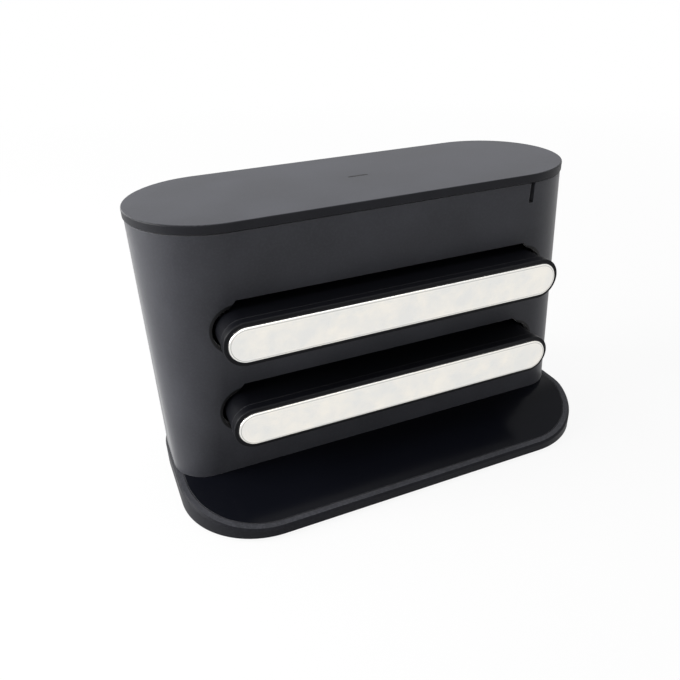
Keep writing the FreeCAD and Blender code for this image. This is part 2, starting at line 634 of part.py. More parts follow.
def make_rubber_feet():
    for name, x, y in foot_places():
        body = new_body(name)
        outline = sketch(body, "outline", "XY_Plane")
        stadium(outline, "rubber_length", "rubber_width", x, y)
        pad(body, outline, "floor_gap + rubber_sink")


def make_contact_frame():
    """The inner frame: a wall with guide bosses for the bars, standoffs for the board and a foot."""
    body = new_body("contact_frame")
    half = f"{FRAME_WIDTH} / 2"
    wall = sketch(body, "wall", "XZ_Plane", FRAME_REAR_Y)
    arm = "arm_width / 2"
    polygon(wall, (
        (minus(half), "seat_height"),
        (half, "seat_height"),
        (half, FRAME_TOP),
        (f"{SLIT_X} + {arm}", FRAME_TOP),
        (f"{SLIT_X} + {arm}", ARM_TOP),
        (f"{SLIT_X} - {arm}", ARM_TOP),
        (f"{SLIT_X} - {arm}", FRAME_TOP),
        (minus(half), FRAME_TOP),
    ))
    pad(body, wall, "frame_wall")
    flange = sketch(body, "flange", "XY_Plane", "seat_height")
    rectangle(flange, minus(half), FLANGE_FRONT, half, minus(FRAME_FRONT_Y))
    pad(body, flange, "flange_thick")
    for side, sign in SIDES:
        boss = sketch(body, f"screw_boss_{side}", "XY_Plane", "seat_height")
        circle(boss, "tower_boss", f"{sign} * frame_screw_x", FRAME_SCREW_Y)
        pad(body, boss, "frame_boss_height")
        hole = sketch(body, f"screw_hole_{side}", "XY_Plane", "seat_height")
        circle(hole, "screw_shank + 2 * thread_gap", f"{sign} * frame_screw_x", FRAME_SCREW_Y)
        pocket(body, hole, "frame_boss_height", reverse=True)
        rib = sketch(body, f"rib_{side}", "YZ_Plane", f"{sign} * ({FRAME_WIDTH} / 2 - rib_thick / 2)")
        polygon(rib, (
            (minus(FRAME_FRONT_Y), "seat_height"),
            (minus(FRAME_FRONT_Y), "lower_bar - boss_diameter / 2"),
            (FLANGE_FRONT, "seat_height + flange_thick"),
            (FLANGE_FRONT, "seat_height"),
        ))
        pad(body, rib, "rib_thick", symmetric=True)
        for bar in ("upper_bar", "lower_bar"):
            sleeve = sketch(body, f"{bar}_boss_{side}", "XZ_Plane", FRAME_FRONT_Y)
            circle(sleeve, "boss_diameter", f"{sign} * {POST_X}", bar)
            pad(body, sleeve, "boss_length")
            bore = sketch(body, f"{bar}_bore_{side}", "XZ_Plane", f"{FRAME_FRONT_Y} + boss_length")
            circle(bore, "post_diameter + 2 * guide_gap", f"{sign} * {POST_X}", bar)
            pocket(body, bore, "boss_length + frame_wall")
        for level_name, z in board_screw_heights():
            standoff = sketch(body, f"standoff_{level_name}_{side}", "XZ_Plane", BOARD_FRONT_Y)
            circle(standoff, "standoff_diameter", f"{sign} * {BOARD_SCREW_X}", z)
            pad(body, standoff, f"{FRAME_REAR_Y} - {BOARD_FRONT_Y}")
            tap = sketch(body, f"tap_{level_name}_{side}", "XZ_Plane", BOARD_FRONT_Y)
            circle(tap, "screw_shank + 2 * thread_gap", f"{sign} * {BOARD_SCREW_X}", z)
            pocket(body, tap, f"{FRAME_REAR_Y} - {BOARD_FRONT_Y}", reverse=True)


def board_screw_heights():
    return ("low", f"{BOARD_BOTTOM} + board_screw_inset"), ("high", f"{FRAME_TOP} - board_screw_inset")


def make_carrier(bar):
    """A sprung carrier: a round-ended cap with a skirt, two guide posts and a pad for the leaf spring."""
    body = new_body(f"{bar}_carrier")
    height = f"{bar}_bar"
    skirt = sketch(body, "skirt", "XZ_Plane", CARRIER_TAIL_Y)
    stadium(skirt, f"{CARRIER_LENGTH} - 2 * carrier_step", f"{CARRIER_HEIGHT} - 2 * carrier_step", y=height)
    pad(body, skirt, f"{CARRIER_FACE_Y} - carrier_cap - {CARRIER_TAIL_Y}")
    cap = sketch(body, "cap", "XZ_Plane", f"{CARRIER_FACE_Y} - carrier_cap")
    stadium(cap, CARRIER_LENGTH, CARRIER_HEIGHT, y=height)
    pad(body, cap, "carrier_cap")
    dress(body, "Fillet", "front_round", "carrier_round", facing(CARRIER_FACE_Y))
    seat = sketch(body, "strip_seat", "XZ_Plane", CARRIER_FACE_Y)
    stadium(seat, "bar_length + 2 * thread_gap", "bar_height + 2 * thread_gap", y=height)
    pocket(body, seat, "bar_thick - bar_proud")
    hollow = sketch(body, "hollow", "XZ_Plane", CARRIER_TAIL_Y)
    stadium(hollow, f"{CARRIER_LENGTH} - 2 * carrier_wall", f"{CARRIER_HEIGHT} - 2 * carrier_wall", y=height)
    pocket(body, hollow, f"{CARRIER_FACE_Y} - carrier_face - {CARRIER_TAIL_Y}", reverse=True)
    inside = f"{CARRIER_FACE_Y} - carrier_face"
    for side, sign in SIDES:
        post = sketch(body, f"post_{side}", "XZ_Plane", FRAME_REAR_Y)
        circle(post, "post_diameter", f"{sign} * {POST_X}", height)
        pad(body, post, f"{inside} - ({FRAME_REAR_Y})")
        tap = sketch(body, f"tap_{side}", "XZ_Plane", FRAME_REAR_Y)
        circle(tap, "screw_shank + 2 * thread_gap", f"{sign} * {POST_X}", height)
        pocket(body, tap, "3 * screw_shank", reverse=True)
    bridge = sketch(body, "spring_pad", "XZ_Plane", CARRIER_TAIL_Y)
    centred(bridge, "spring_pad", f"{CARRIER_HEIGHT} - carrier_wall", y=height)
    pad(body, bridge, f"{inside} - {CARRIER_TAIL_Y}")


def make_strip(bar):
    """A bright contact strip with full round ends and a softened front edge."""
    body = new_body(f"{bar}_strip")
    face = sketch(body, "face", "XZ_Plane", f"{CARRIER_FACE_Y} + bar_proud - bar_thick")
    stadium(face, "bar_length", "bar_height", y=f"{bar}_bar")
    pad(body, face, "bar_thick")
    dress(body, "Fillet", "front_round", "bar_round", facing(BAR_FACE_Y))


def make_leaf_spring(bar):
    """A bowed leaf: its ends stand on the frame's wall, its crown carries the carrier's pad."""
    body = new_body(f"{bar}_spring")
    bow = sketch(body, "bow", "XY_Plane", f"{bar}_bar")
    rise = f"({CARRIER_TAIL_Y} - {FRAME_FRONT_Y} - spring_thick)"
    inner = f"((spring_span * spring_span / 4 + {rise} * {rise}) / (2 * {rise}))"
    outer = f"({inner} + spring_thick)"
    depth = f"({inner} - {rise} - {FRAME_FRONT_Y})"
    half = "spring_span / 2"
    crown = Vector(0, value(depth), 0)
    toes = []
    for radius in (inner, outer):
        reach = value(radius)
        drop = (reach ** 2 - value(half) ** 2) ** 0.5
        toe = Vector(value(half), -drop, 0)
        toes.append(toe)
        curve = Part.Arc(crown + Vector(-toe.x, toe.y, 0), crown + Vector(0, -reach, 0), crown + toe)
        index = bow.addGeometry(curve, False)
        locate(bow, index, 3, "0", depth)
        dimension(bow, "Radius", (index,), radius)
        dimension(bow, "DistanceX", (-1, 1, index, 2), half)
        dimension(bow, "DistanceX", (-1, 1, index, 1), minus(half))
    for sign, point in ((-1, 1), (1, 2)):
        ends = [crown + Vector(sign * toe.x, toe.y, 0) for toe in toes]
        line = bow.addGeometry(Part.LineSegment(*ends), False)
        bow.addConstraint(Sketcher.Constraint("Coincident", line, 1, 0, point))
        bow.addConstraint(Sketcher.Constraint("Coincident", line, 2, 1, point))
    pad(body, bow, "spring_width", symmetric=True)


def cylinder(name, diameter, length, place, direction):
    item = doc.addObject("Part::Cylinder", name)
    item.setExpression("Radius", bound(f"({diameter}) / 2"))
    item.setExpression("Height", bound(length))
    item.Placement.Rotation = FreeCAD.Rotation(Vector(0, 0, 1), Vector(*direction))
    set_place(item, *place)
    return item


def fuse(label, pieces):
    group = doc.addObject("Part::MultiFuse", label)
    group.Label = label
    group.Shapes = pieces
    return group


def make_screws(label, places, direction, length, washer=False):
    """A set of alike screws: places are the undersides of the heads, direction points to the tips."""
    axis = [abs(part) for part in direction].index(1)
    back = direction[axis]
    pieces = []
    for index, place in enumerate(places):
        head = list(place)
        head[axis] = f"{place[axis]} - {back} * screw_head_height"
        pieces.append(cylinder(f"{label}_head_{index}", "screw_head", "screw_head_height", head, direction))
        pieces.append(cylinder(f"{label}_shank_{index}", "screw_shank", length, place, direction))
        if washer:
            name = f"{label}_washer_{index}"
            pieces.append(cylinder(name, "washer_diameter", "washer_thick", place, direction))
    return fuse(label, pieces)


def make_fasteners():
    tower, frame = screw_places()
    under_head = "floor_gap + head_sink + screw_head_height"
    up = (0, 0, 1)
    tip = f"seat_height + tower_boss_height - 2 * rib_thick - ({under_head})"
    make_screws("tower_screws", [(x, y, under_head) for x, y in tower], up, tip)
    tip = f"seat_height + frame_boss_height - rib_thick - ({under_head})"
    make_screws("frame_screws", [(x, y, under_head) for x, y in frame], up, tip)
    forward = (0, -1, 0)
    across_board = [f"{sign} * {BOARD_SCREW_X}" for _, sign in SIDES]
    board = [(x, minus(BOARD_REAR_Y), z) for x in across_board for _, z in board_screw_heights()]
    make_screws("board_screws", board, forward, "board_thick + 2 * screw_shank")
    for bar in ("upper", "lower"):
        behind = f"washer_thick - ({FRAME_REAR_Y})"
        ends = [(f"{sign} * {POST_X}", behind, f"{bar}_bar") for _, sign in SIDES]
        make_screws(f"{bar}_retainers", ends, forward, "washer_thick + 2 * screw_shank", washer=True)


def make_power_board():
    body = new_body("power_board")
    plate = sketch(body, "plate", "XZ_Plane", BOARD_REAR_Y)
    rectangle(plate, minus(BOARD_HALF), BOARD_BOTTOM, BOARD_HALF, BOARD_TOP)
    pad(body, plate, "board_thick")
    for side, sign in SIDES:
        for level_name, z in board_screw_heights():
            hole = sketch(body, f"hole_{level_name}_{side}", "XZ_Plane", BOARD_FRONT_Y)
            circle(hole, "screw_shank + 2 * fit_gap", f"{sign} * {BOARD_SCREW_X}", z)
            pocket(body, hole, "board_thick")


def make_transformer():
    """A small mains transformer on the board's rear: a windowed core and the winding round its middle limb."""
    core = new_body("transformer_core")
    block = sketch(core, "block", "XZ_Plane", f"{BOARD_REAR_Y} - {CORE_DEPTH}")
    centred(block, "core_width", "core_height", "core_x", "core_z")
    pad(core, block, CORE_DEPTH)
    for side, sign in SIDES:
        window = sketch(core, f"window_{side}", "XZ_Plane", BOARD_REAR_Y)
        middle = f"core_x + {sign} * (core_width - core_limb) / 4"
        centred(window, "(core_width - 3 * core_limb) / 2", "core_height - 2 * core_limb", middle, "core_z")
        pocket(core, window, CORE_DEPTH)
    winding = new_body("transformer_winding")
    coil = sketch(winding, "coil", "XY_Plane", "core_z")
    front = f"{minus(BOARD_REAR_Y)} + winding_gap"
    rear = f"{minus(BOARD_REAR_Y)} + {CORE_DEPTH} + core_limb / 2"
    reach = "(core_width - 2 * core_limb) / 2 - winding_gap"
    rectangle(coil, f"core_x - ({reach})", front, f"core_x + {reach}", rear)
    pad(winding, coil, "core_height - 2 * core_limb - 2 * winding_gap", symmetric=True)
    limb = sketch(winding, "limb", "XY_Plane", "core_z")
    half = "core_limb / 2 + winding_gap"
    rear = f"{minus(BOARD_REAR_Y)} + {CORE_DEPTH} + winding_gap"
    rectangle(limb, f"core_x - ({half})", front, f"core_x + {half}", rear)
    pocket(winding, limb, "core_height", symmetric=True)


def make_board_parts():
    """What stands on the board's rear face, and the status light on its front."""
    behind = minus(BOARD_REAR_Y)
    rearward = (0, 1, 0)
    bulk_height = f"{REAR_ROOM} - bulk_clear"
    cylinder("bulk_capacitor", "bulk_diameter", bulk_height, ("bulk_x", behind, "bulk_z"), rearward)
    output_place = (f"output_inset - {BOARD_HALF}", behind, "output_z")
    cylinder("output_capacitor", "output_diameter", f"{REAR_ROOM} - output_clear", output_place, rearward)
    light = new_body("status_led")
    block = sketch(light, "block", "XZ_Plane", BOARD_FRONT_Y)
    rectangle(block, "-led_width / 2", f"{BOARD_TOP} - led_height", "led_width / 2", BOARD_TOP)
    pad(light, block, "led_depth")


def make_infra_red():
    """The emitter behind the slit: its board on the frame's arm, and a dark hood over it."""
    board = new_body("ir_board")
    plate = sketch(board, "plate", "XZ_Plane", FRAME_FRONT_Y)
    rectangle(plate, f"{SLIT_X} - arm_width / 2", FRAME_TOP, f"{SLIT_X} + arm_width / 2", ARM_TOP)
    pad(board, plate, "board_thick")
    face = f"{FRAME_FRONT_Y} + board_thick"
    cylinder("ir_emitter", "emitter_diameter", "emitter_length", (SLIT_X, minus(face), EMITTER_Z), (0, -1, 0))
    hood = new_body("ir_hood")
    block = sketch(hood, "block", "XZ_Plane", face)
    centred(block, "hood_size", "hood_size", SLIT_X, EMITTER_Z)
    pad(hood, block, f"{HOOD_FRONT_Y} - ({face})")
    bore = sketch(hood, "bore", "XZ_Plane", face)
    circle(bore, "emitter_diameter + 2 * fit_gap", SLIT_X, EMITTER_Z)
    pocket(hood, bore, f"{HOOD_FRONT_Y} - hood_face - ({face})", reverse=True)


def make_power_inlet():
    """A two-pole mains inlet on the board, its socket flush with the shell's rear wall, and its two pins."""
    body = new_body("power_inlet")
    block = sketch(body, "block", "XZ_Plane", minus(INLET_REAR))
    stadium(block, "inlet_width", "inlet_height", INLET_X, INLET_Z)
    pad(body, block, f"{INLET_REAR} + {BOARD_REAR_Y}")
    for side, sign in SIDES:
        lobe = sketch(body, f"lobe_{side}", "XZ_Plane", minus(INLET_REAR))
        circle(lobe, "inlet_lobe", f"{INLET_X} + {sign} * pin_pitch / 2", INLET_Z)
        pocket(body, lobe, "inlet_depth", reverse=True)
    waist = sketch(body, "waist", "XZ_Plane", minus(INLET_REAR))
    centred(waist, "pin_pitch", "inlet_waist", INLET_X, INLET_Z)
    pocket(body, waist, "inlet_depth", reverse=True)
    floor = f"{INLET_REAR} - inlet_depth"
    pins = [
        cylinder(
            f"inlet_pin_{side}",
            "pin_diameter",
            "inlet_depth - pin_set_back",
            (f"{INLET_X} + {sign} * pin_pitch / 2", floor, INLET_Z),
            (0, 1, 0),
        )
        for side, sign in SIDES
    ]
    fuse("inlet_pins", pins)


def main():
    make_tower_shell()
    make_top_lid()
    make_light_guide()
    make_base_tray()
    make_base_deck()
    make_rubber_feet()
    make_contact_frame()
    for bar in ("upper", "lower"):
        make_carrier(bar)
        make_strip(bar)
        make_leaf_spring(bar)
    make_fasteners()
    make_power_board()
    make_transformer()
    make_board_parts()
    make_infra_red()
    make_power_inlet()
    doc.recompute()
    write_parts()


def write_parts():
    """Check every object, then write each sub-part under its own name."""
    inner = {piece.Name for item in doc.Objects if item.TypeId == "Part::MultiFuse" for piece in item.Shapes}
    kinds = ("PartDesign::Body", "Part::MultiFuse", "Part::Cylinder")
    parts = [item for item in doc.Objects if item.TypeId in kinds and item.Name not in inner]
    for item in doc.Objects:
        if "Invalid" in item.State or "Error" in item.State:
            raise RuntimeError(f"{item.Label} failed: {item.State}")
    for item in parts:
        if item.Shape.isNull() or not item.Shape.isValid():
            raise RuntimeError(f"{item.Label} has no valid shape")
    os.makedirs("parts", exist_ok=True)
    for item in parts:
        item.Shape.exportStep(f"parts/{item.Label}.step")
        print(f"{item.Label}: {len(item.Shape.Solids)} solid(s), {item.Shape.Volume:.0f} mm3")


main()
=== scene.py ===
"""Dresses the charging dock: its finishes, screws, leaf springs, rubber pads and a pale stage."""
import math

import bmesh
import bpy
from bpy.props import FloatProperty, FloatVectorProperty, IntProperty, PointerProperty
from mathutils import Matrix, Vector


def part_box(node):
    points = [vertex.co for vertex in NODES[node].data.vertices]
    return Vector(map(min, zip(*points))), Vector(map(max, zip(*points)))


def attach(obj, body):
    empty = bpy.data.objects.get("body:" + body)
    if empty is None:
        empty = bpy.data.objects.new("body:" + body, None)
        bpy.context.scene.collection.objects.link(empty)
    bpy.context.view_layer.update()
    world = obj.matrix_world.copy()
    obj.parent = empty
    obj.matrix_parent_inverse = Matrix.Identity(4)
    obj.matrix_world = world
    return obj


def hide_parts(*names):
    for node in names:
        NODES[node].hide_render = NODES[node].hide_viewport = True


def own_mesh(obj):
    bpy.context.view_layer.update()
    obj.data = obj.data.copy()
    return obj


bl_info = {
    "name": "Charging Dock Dresser",
    "version": (1, 0, 0),
    "blender": (4, 5, 0),
    "location": "View3D > Sidebar > Dock",
    "description": "Finishes, screws, springs, rubber pads and a stage for a charging dock",
    "category": "Object",
}

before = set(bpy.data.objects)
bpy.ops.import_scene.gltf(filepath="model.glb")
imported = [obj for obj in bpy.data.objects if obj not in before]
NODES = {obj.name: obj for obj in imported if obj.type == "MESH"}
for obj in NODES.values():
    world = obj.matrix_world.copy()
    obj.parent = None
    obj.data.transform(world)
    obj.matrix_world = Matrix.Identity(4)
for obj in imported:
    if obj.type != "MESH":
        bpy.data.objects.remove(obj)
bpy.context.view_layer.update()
MM = 0.001
IMAGE_WIDTH = 680
SENSOR_WIDTH = 36.0
WHITE = (1.0, 1.0, 1.0, 1.0)
MIX_FACTOR, MIX_A, MIX_B, MIX_RESULT = 0, 6, 7, 2
TURN = 2 * math.pi
SHARP_ANGLE = math.radians(38)
WELD_DISTANCE = MM / 1000
BEVEL_SAMPLES = 6
EDGE_CONTRAST = 6
BARS = ("upper", "lower")
# Each lamp's name, place and width in metres.
LAMPS = (
    ("top", (0.1, 0.1, 1.3), 1.4),
    ("side", (-0.62, 0.12, 0.29), 0.5),
    ("front", (-0.25, -1.1, 0.14), 0.8),
    ("edge", (-0.8, 1.5, 0.4), 1.2),
)


def colour(name, description, default):
    return FloatVectorProperty(
        name=name, description=description, default=default, subtype="COLOR", min=0, max=1)


def length(name, description, default):
    return FloatProperty(
        name=name, description=description, default=default, subtype="DISTANCE", unit="LENGTH", min=0)


def share(name, description, default):
    return FloatProperty(
        name=name, description=description, default=default, subtype="FACTOR", min=0, max=1)


def angle(name, description, degrees):
    return FloatProperty(
        name=name, description=description, default=math.radians(degrees), subtype="ANGLE", unit="ROTATION")


def power(name, description, default):
    return FloatProperty(name=name, description=description, default=default, unit="POWER", min=0)


class DockFinishes(bpy.types.PropertyGroup):
    """Colours and textures of the dock's surfaces."""
    shell_colour: colour("Shell", "Satin charcoal of the tower", (0.0250, 0.0257, 0.0305))
    # The tray's side and rim top are shaded and lit copies of one charcoal: the side tone is painted shade,
    # the rim top tone painted light from above.
    tray_shaded_side_colour: colour("Tray side", "Charcoal of the base tray's side", (0.0060, 0.0062, 0.0080))
    tray_lit_top_colour: colour("Tray rim", "Charcoal on top of the tray's rim, painted lighter as lit from above", (0.0290, 0.0296, 0.0340))
    tray_shine: share("Tray shine", "Strength of the tray's reflections", 0.08)
    tray_speckle: share("Tray speckle", "Strength of the pale specks in the tray", 0.35)
    shell_shine: share("Shell shine", "Strength of the shell's reflections", 0.15)
    shell_speckle: share("Shell speckle", "Strength of the pale specks in the shell", 0.10)
    shell_haze: share("Shell haze", "Soft sheen of the shell at a flat angle", 0.28)
    shell_roughness: share("Shell roughness", "How matt the satin mouldings are", 0.46)
    shell_grain: length("Shell grain", "Size of the fine texture of the satin mouldings", 0.35 * MM)
    # Lid side and lid top are shaded and lit copies of one charcoal: the side tone is painted shade, the top
    # tone painted light from above.
    lid_shaded_side_colour: colour("Lid side", "Charcoal of the lid's edge", (0.0080, 0.0083, 0.0105))
    lid_lit_top_colour: colour("Lid top", "Charcoal on top of the lid, painted lighter as lit from above", (0.0440, 0.0452, 0.0525))
    lid_roughness: share("Lid roughness", "How matt the lid is", 0.46)
    lid_shine: share("Lid shine", "Strength of the lid's reflections", 0.12)
    lid_speckle: share("Lid speckle", "Strength of the pale specks in the lid", 0.05)
    gloss_colour: colour("Gloss", "Polished black of the deck", (0.0036, 0.0040, 0.0062))
    bar_colour: colour("Bars", "Black of the bars that carry the strips", (0.0030, 0.0032, 0.0046))
    gloss_roughness: share("Gloss roughness", "How blurred the reflections in the deck are", 0.16)
    bar_roughness: share("Bar roughness", "How blurred the reflections in the bars are", 0.40)
    gloss_shine: share("Gloss shine", "Strength of the deck's reflections", 0.06)
    bar_shine: share("Bar shine", "Strength of the bars' reflections", 0.10)
    plate_warm: colour("Plating, warm", "Warmer clouds in the plated strips", (0.90, 0.87, 0.81))
    plate_cool: colour("Plating, cool", "Cooler clouds in the plated strips", (0.82, 0.815, 0.79))
    plate_roughness: share("Plating roughness", "How blurred the reflections in the strips are", 0.22)
    guide_colour: colour("Light guide", "Smoked plastic of the status light", (0.0070, 0.0072, 0.0085))
    rubber_colour: colour("Rubber", "Rubber of the feet", (0.018, 0.018, 0.019))
    nylon_colour: colour("Inner plastic", "Filled nylon of inlet and contact frame", (0.010, 0.010, 0.011))
    zinc_colour: colour("Screws", "Zinc plating of the screws", (0.62, 0.63, 0.65))
    zinc_tint: colour("Screw tint", "Bluer clouds in the screws' plating", (0.50, 0.54, 0.62))
    zinc_roughness: share("Screw roughness", "How blurred the reflections in the screws are", 0.32)
    pin_colour: colour("Pins", "Nickel plating of the inlet's pins", (0.78, 0.76, 0.70))
    pin_tint: colour("Pin tint", "Warmer clouds in the pins' plating", (0.66, 0.62, 0.52))
    pin_roughness: share("Pin roughness", "How blurred the reflections in the pins are", 0.24)
    spring_colour: colour("Springs", "Rolled steel of the leaf springs", (0.42, 0.43, 0.45))
    spring_tint: colour("Spring tint", "Darker clouds in the springs' steel", (0.34, 0.33, 0.33))
    spring_roughness: share("Spring roughness", "How blurred the reflections in the springs are", 0.30)
    mask_colour: colour("Circuit board", "Lacquer of the circuit boards", (0.010, 0.085, 0.040))
    trace_colour: colour("Tracks", "Copper tracks under the lacquer", (0.030, 0.170, 0.075))
    ferrite_colour: colour("Core", "Sintered core of the transformer", (0.030, 0.029, 0.030))
    tape_colour: colour("Winding", "Tape round the transformer's winding", (0.62, 0.40, 0.05))
    sleeve_colour: colour("Capacitor", "Sleeve of the capacitors", (0.012, 0.018, 0.055))
    lens_colour: colour("Lamp lens", "Resin of the light and of the emitter", (0.50, 0.53, 0.55))


class DockDetails(bpy.types.PropertyGroup):
    """Sizes of the pieces that are built on the dock."""
    head_dome: length("Head dome", "How far a screw's head rounds off at its edge", 0.55 * MM)
    head_height: length("Head height", "Height of a screw's head", 1.8 * MM)
    shank_radius: length("Shank radius", "Radius of a screw's shank over the thread", 1.45 * MM)
    recess_width: length("Recess arm", "Width of an arm of the cross recess", 0.85 * MM)
    recess_reach: length("Recess reach", "Reach of an arm from the middle", 1.6 * MM)
    recess_depth: length("Recess depth", "Depth of the cross recess", 1.05 * MM)
    thread_pitch: length("Thread pitch", "Rise of the thread in one turn", 1.1 * MM)
    thread_depth: length("Thread depth", "Depth of the thread", 0.32 * MM)
    screw_sides: IntProperty(
        name="Screw sides", description="Points round a screw", default=32, min=12, max=96)
    # Painted shade: width of the black band painted on the shell round each bar's slot.
    slot_shade_width: length("Slot shade", "Black band of painted shade round the slot of each bar", 1.6 * MM)
    # Painted shade: the strip line is a dark line painted near each strip's edge.
    shade_line_inset: length("Strip line", "Distance of the painted shade line from the edge of a strip", 0.6 * MM)
    shade_line_half_width: length("Strip line width", "Half the width of the pressed line", 0.16 * MM)
    leaf_thick: length("Leaf thickness", "Thickness of a leaf spring", 0.4 * MM)
    leaf_toe: length("Leaf toe", "Width of a leaf spring's toes", 3.2 * MM)
    pad_edge: length("Pad edge", "Rounding of a rubber pad's lower edge", 0.45 * MM)
    pad_rim: length("Pad rim", "Flat rim outside the pad's groove", 0.9 * MM)
    pad_groove: length("Pad groove", "Width of each groove in the pad", 0.7 * MM)
    pad_groove_depth: length("Groove depth", "Depth of each groove in the pad", 0.4 * MM)


class DockStage(bpy.types.PropertyGroup):
    """Floor, light and camera."""
    floor_colour: colour("Floor", "Colour of the floor", (0.62, 0.62, 0.62))
    floor_size: length("Floor size", "Side of the floor", 8.0)
    floor_glow: share("Floor glow", "Share of plain white in what the camera sees of the floor", 0.90)
    ambient: share("Ambient", "Level of the light from all round", 0.40)
    top_power: power("Top light", "Power of the light above", 9.0)
    side_power: power("Side light", "Power of the light at the left", 8.5)
    front_power: power("Front light", "Power of the low light in front", 3.5)
    edge_power: power("Edge light", "Power of the light behind the left end", 14.0)
    azimuth: angle("Azimuth", "Camera's turn about the upright axis, to the left of the front", 22.261)
    elevation: angle("Elevation", "Camera's height above the horizon", 29.163)
    roll: angle("Roll", "Camera's tilt about its own axis", -1.820)
    distance: length("Distance", "Camera from the point that it looks at", 221.444 * MM)
    target: FloatVectorProperty(
        name="Target", description="Point that the camera looks at", subtype="TRANSLATION", unit="LENGTH",
        default=(-14.390 * MM, -4.526 * MM, 45.0 * MM))
    focal: FloatProperty(
        name="Focal length", description="Focal length in widths of the image",
        default=658.534 / IMAGE_WIDTH, min=0.1)


class Socket:
    """A shader socket as a value: arithmetic on it adds Math nodes."""

    def __init__(self, finish, link):
        self.finish = finish
        self.link = link

    def maths(self, operation, *operands, clamp=False):
        settings = {"operation": operation, "use_clamp": clamp}
        return self.finish.node("ShaderNodeMath", settings, dict(enumerate(operands)))

    def __add__(self, other):
        return self.maths("ADD", self, other)

    __radd__ = __add__

    def __sub__(self, other):
        return self.maths("SUBTRACT", self, other)

    def __rsub__(self, other):
        return self.maths("SUBTRACT", other, self)

    def __mul__(self, other):
        return self.maths("MULTIPLY", self, other)

    __rmul__ = __mul__

    def __truediv__(self, other):
        return self.maths("DIVIDE", self, other)

    def __rtruediv__(self, other):
        return self.maths("DIVIDE", other, self)

    def __gt__(self, other):
        return self.maths("GREATER_THAN", self, other)

    def __lt__(self, other):
        return self.maths("LESS_THAN", self, other)

    def clamped(self):
        return self.maths("ADD", self, 0.0, clamp=True)

    def fraction(self):
        return self.maths("FRACT", self)

    def largest(self, other):
        return self.maths("MAXIMUM", self, other)

    def root(self):
        return self.maths("SQRT", self)

    def size(self):
        return self.maths("ABSOLUTE", self)


class Finish:
    """One node tree under construction."""

    def __init__(self, owner):
        owner.use_nodes = True
        self.owner = owner
        self.tree = owner.node_tree
        self.tree.nodes.clear()

    def node(self, kind, settings=None, inputs=None, output=0):
        """Adds a node, sets it up, fills its sockets with values or links, and gives one of its outputs."""
        made = self.tree.nodes.new(kind)
        for name, setting in (settings or {}).items():
            if name == "stops":
                self.set_stops(made.color_ramp, setting)
            else:
                setattr(made, name, setting)
        for name, given in (inputs or {}).items():
            if isinstance(given, Socket):
                self.tree.links.new(given.link, made.inputs[name])
            else:
                made.inputs[name].default_value = given
        return Socket(self, made.outputs[output]) if made.outputs else None

    @staticmethod
    def set_stops(ramp, stops):
        while len(ramp.elements) < len(stops):
            ramp.elements.new(1.0)
        for element, (place, tone) in zip(ramp.elements, stops):
            element.position = place
            element.color = tone

    def place(self):
        """The point on the surface in the dock's own frame, in metres."""
        return self.node("ShaderNodeTexCoord", output="Object")

    def stretched(self, scale):
        return self.node("ShaderNodeMapping", None, {"Vector": self.place(), "Scale": scale})

    def axes(self):
        place = self.place()
        return [self.node("ShaderNodeSeparateXYZ", None, {0: place}, axis) for axis in "XYZ"]

    def inside_bar(self, box):
        """How far a point lies inside the round-ended outline that a box has from the front, in metres."""
        x, _, z = self.axes()
        half = (box[1].z - box[0].z) / 2
        middle = (box[0] + box[1]) / 2
        straight = (box[1].x - box[0].x) / 2 - half
        beyond = ((x - middle.x).size() - straight).largest(0.0)
        above = z - middle.z
        return half - (beyond * beyond + above * above).root()

    def top_light_mask(self):
        """1 on level faces, 0 on steep ones: the mask for the painted light on level tops."""
        normal = self.node("ShaderNodeTexCoord", output="Normal")
        upward = self.node("ShaderNodeSeparateXYZ", None, {0: normal}, "Z")
        return self.ramp(upward, (0.80, 0.0), (0.96, 1.0))

    def noise(self, size, detail=2.0, roughness=0.5, where=None):
        inputs = {"Vector": where or self.place(), "Scale": 1 / size}
        inputs |= {"Detail": detail, "Roughness": roughness}
        return self.node("ShaderNodeTexNoise", None, inputs)

    def cells(self, size, where=None, feature="F1"):
        inputs = {"Vector": where or self.place(), "Scale": 1 / size}
        return self.node("ShaderNodeTexVoronoi", {"feature": feature}, inputs)

    def ramp(self, factor, *stops):
        tones = [(place, (tone, tone, tone, 1.0)) for place, tone in stops]
        return self.node("ShaderNodeValToRGB", {"stops": tones}, {0: factor})

    def mix(self, factor, first, second):
        """A colour between two colours or colour links."""
        inputs = {MIX_FACTOR: factor, MIX_A: opaque(first), MIX_B: opaque(second)}
        return self.node("ShaderNodeMix", {"data_type": "RGBA"}, inputs, MIX_RESULT)

    def bump(self, height, depth, strength=1.0, edge=None):
        inputs = {"Height": height, "Distance": depth, "Strength": strength}
        if edge:
            inputs["Normal"] = self.node("ShaderNodeBevel", {"samples": BEVEL_SAMPLES}, {"Radius": edge})
        return self.node("ShaderNodeBump", None, inputs)

    def edge_wear_and_highlight(self, radius):
        """Brightest where the surface turns sharply within that radius."""
        soft = self.node("ShaderNodeBevel", {"samples": BEVEL_SAMPLES}, {"Radius": radius})
        sharp = self.node("ShaderNodeNewGeometry", output="Normal")
        along = self.node("ShaderNodeVectorMath", {"operation": "DOT_PRODUCT"}, {0: soft, 1: sharp}, "Value")
        return ((1 - along) * EDGE_CONTRAST).clamped()

    def surface(self, **sockets):
        """Ends the tree in one Principled surface; the sockets' names have _ for a space."""
        inputs = {name.replace("_", " "): given for name, given in sockets.items()}
        for name, given in inputs.items():
            if name.endswith("Color"):
                inputs[name] = opaque(given)
        shader = self.node("ShaderNodeBsdfPrincipled", None, inputs)
        self.node("ShaderNodeOutputMaterial", None, {"Surface": shader})
        return self.owner


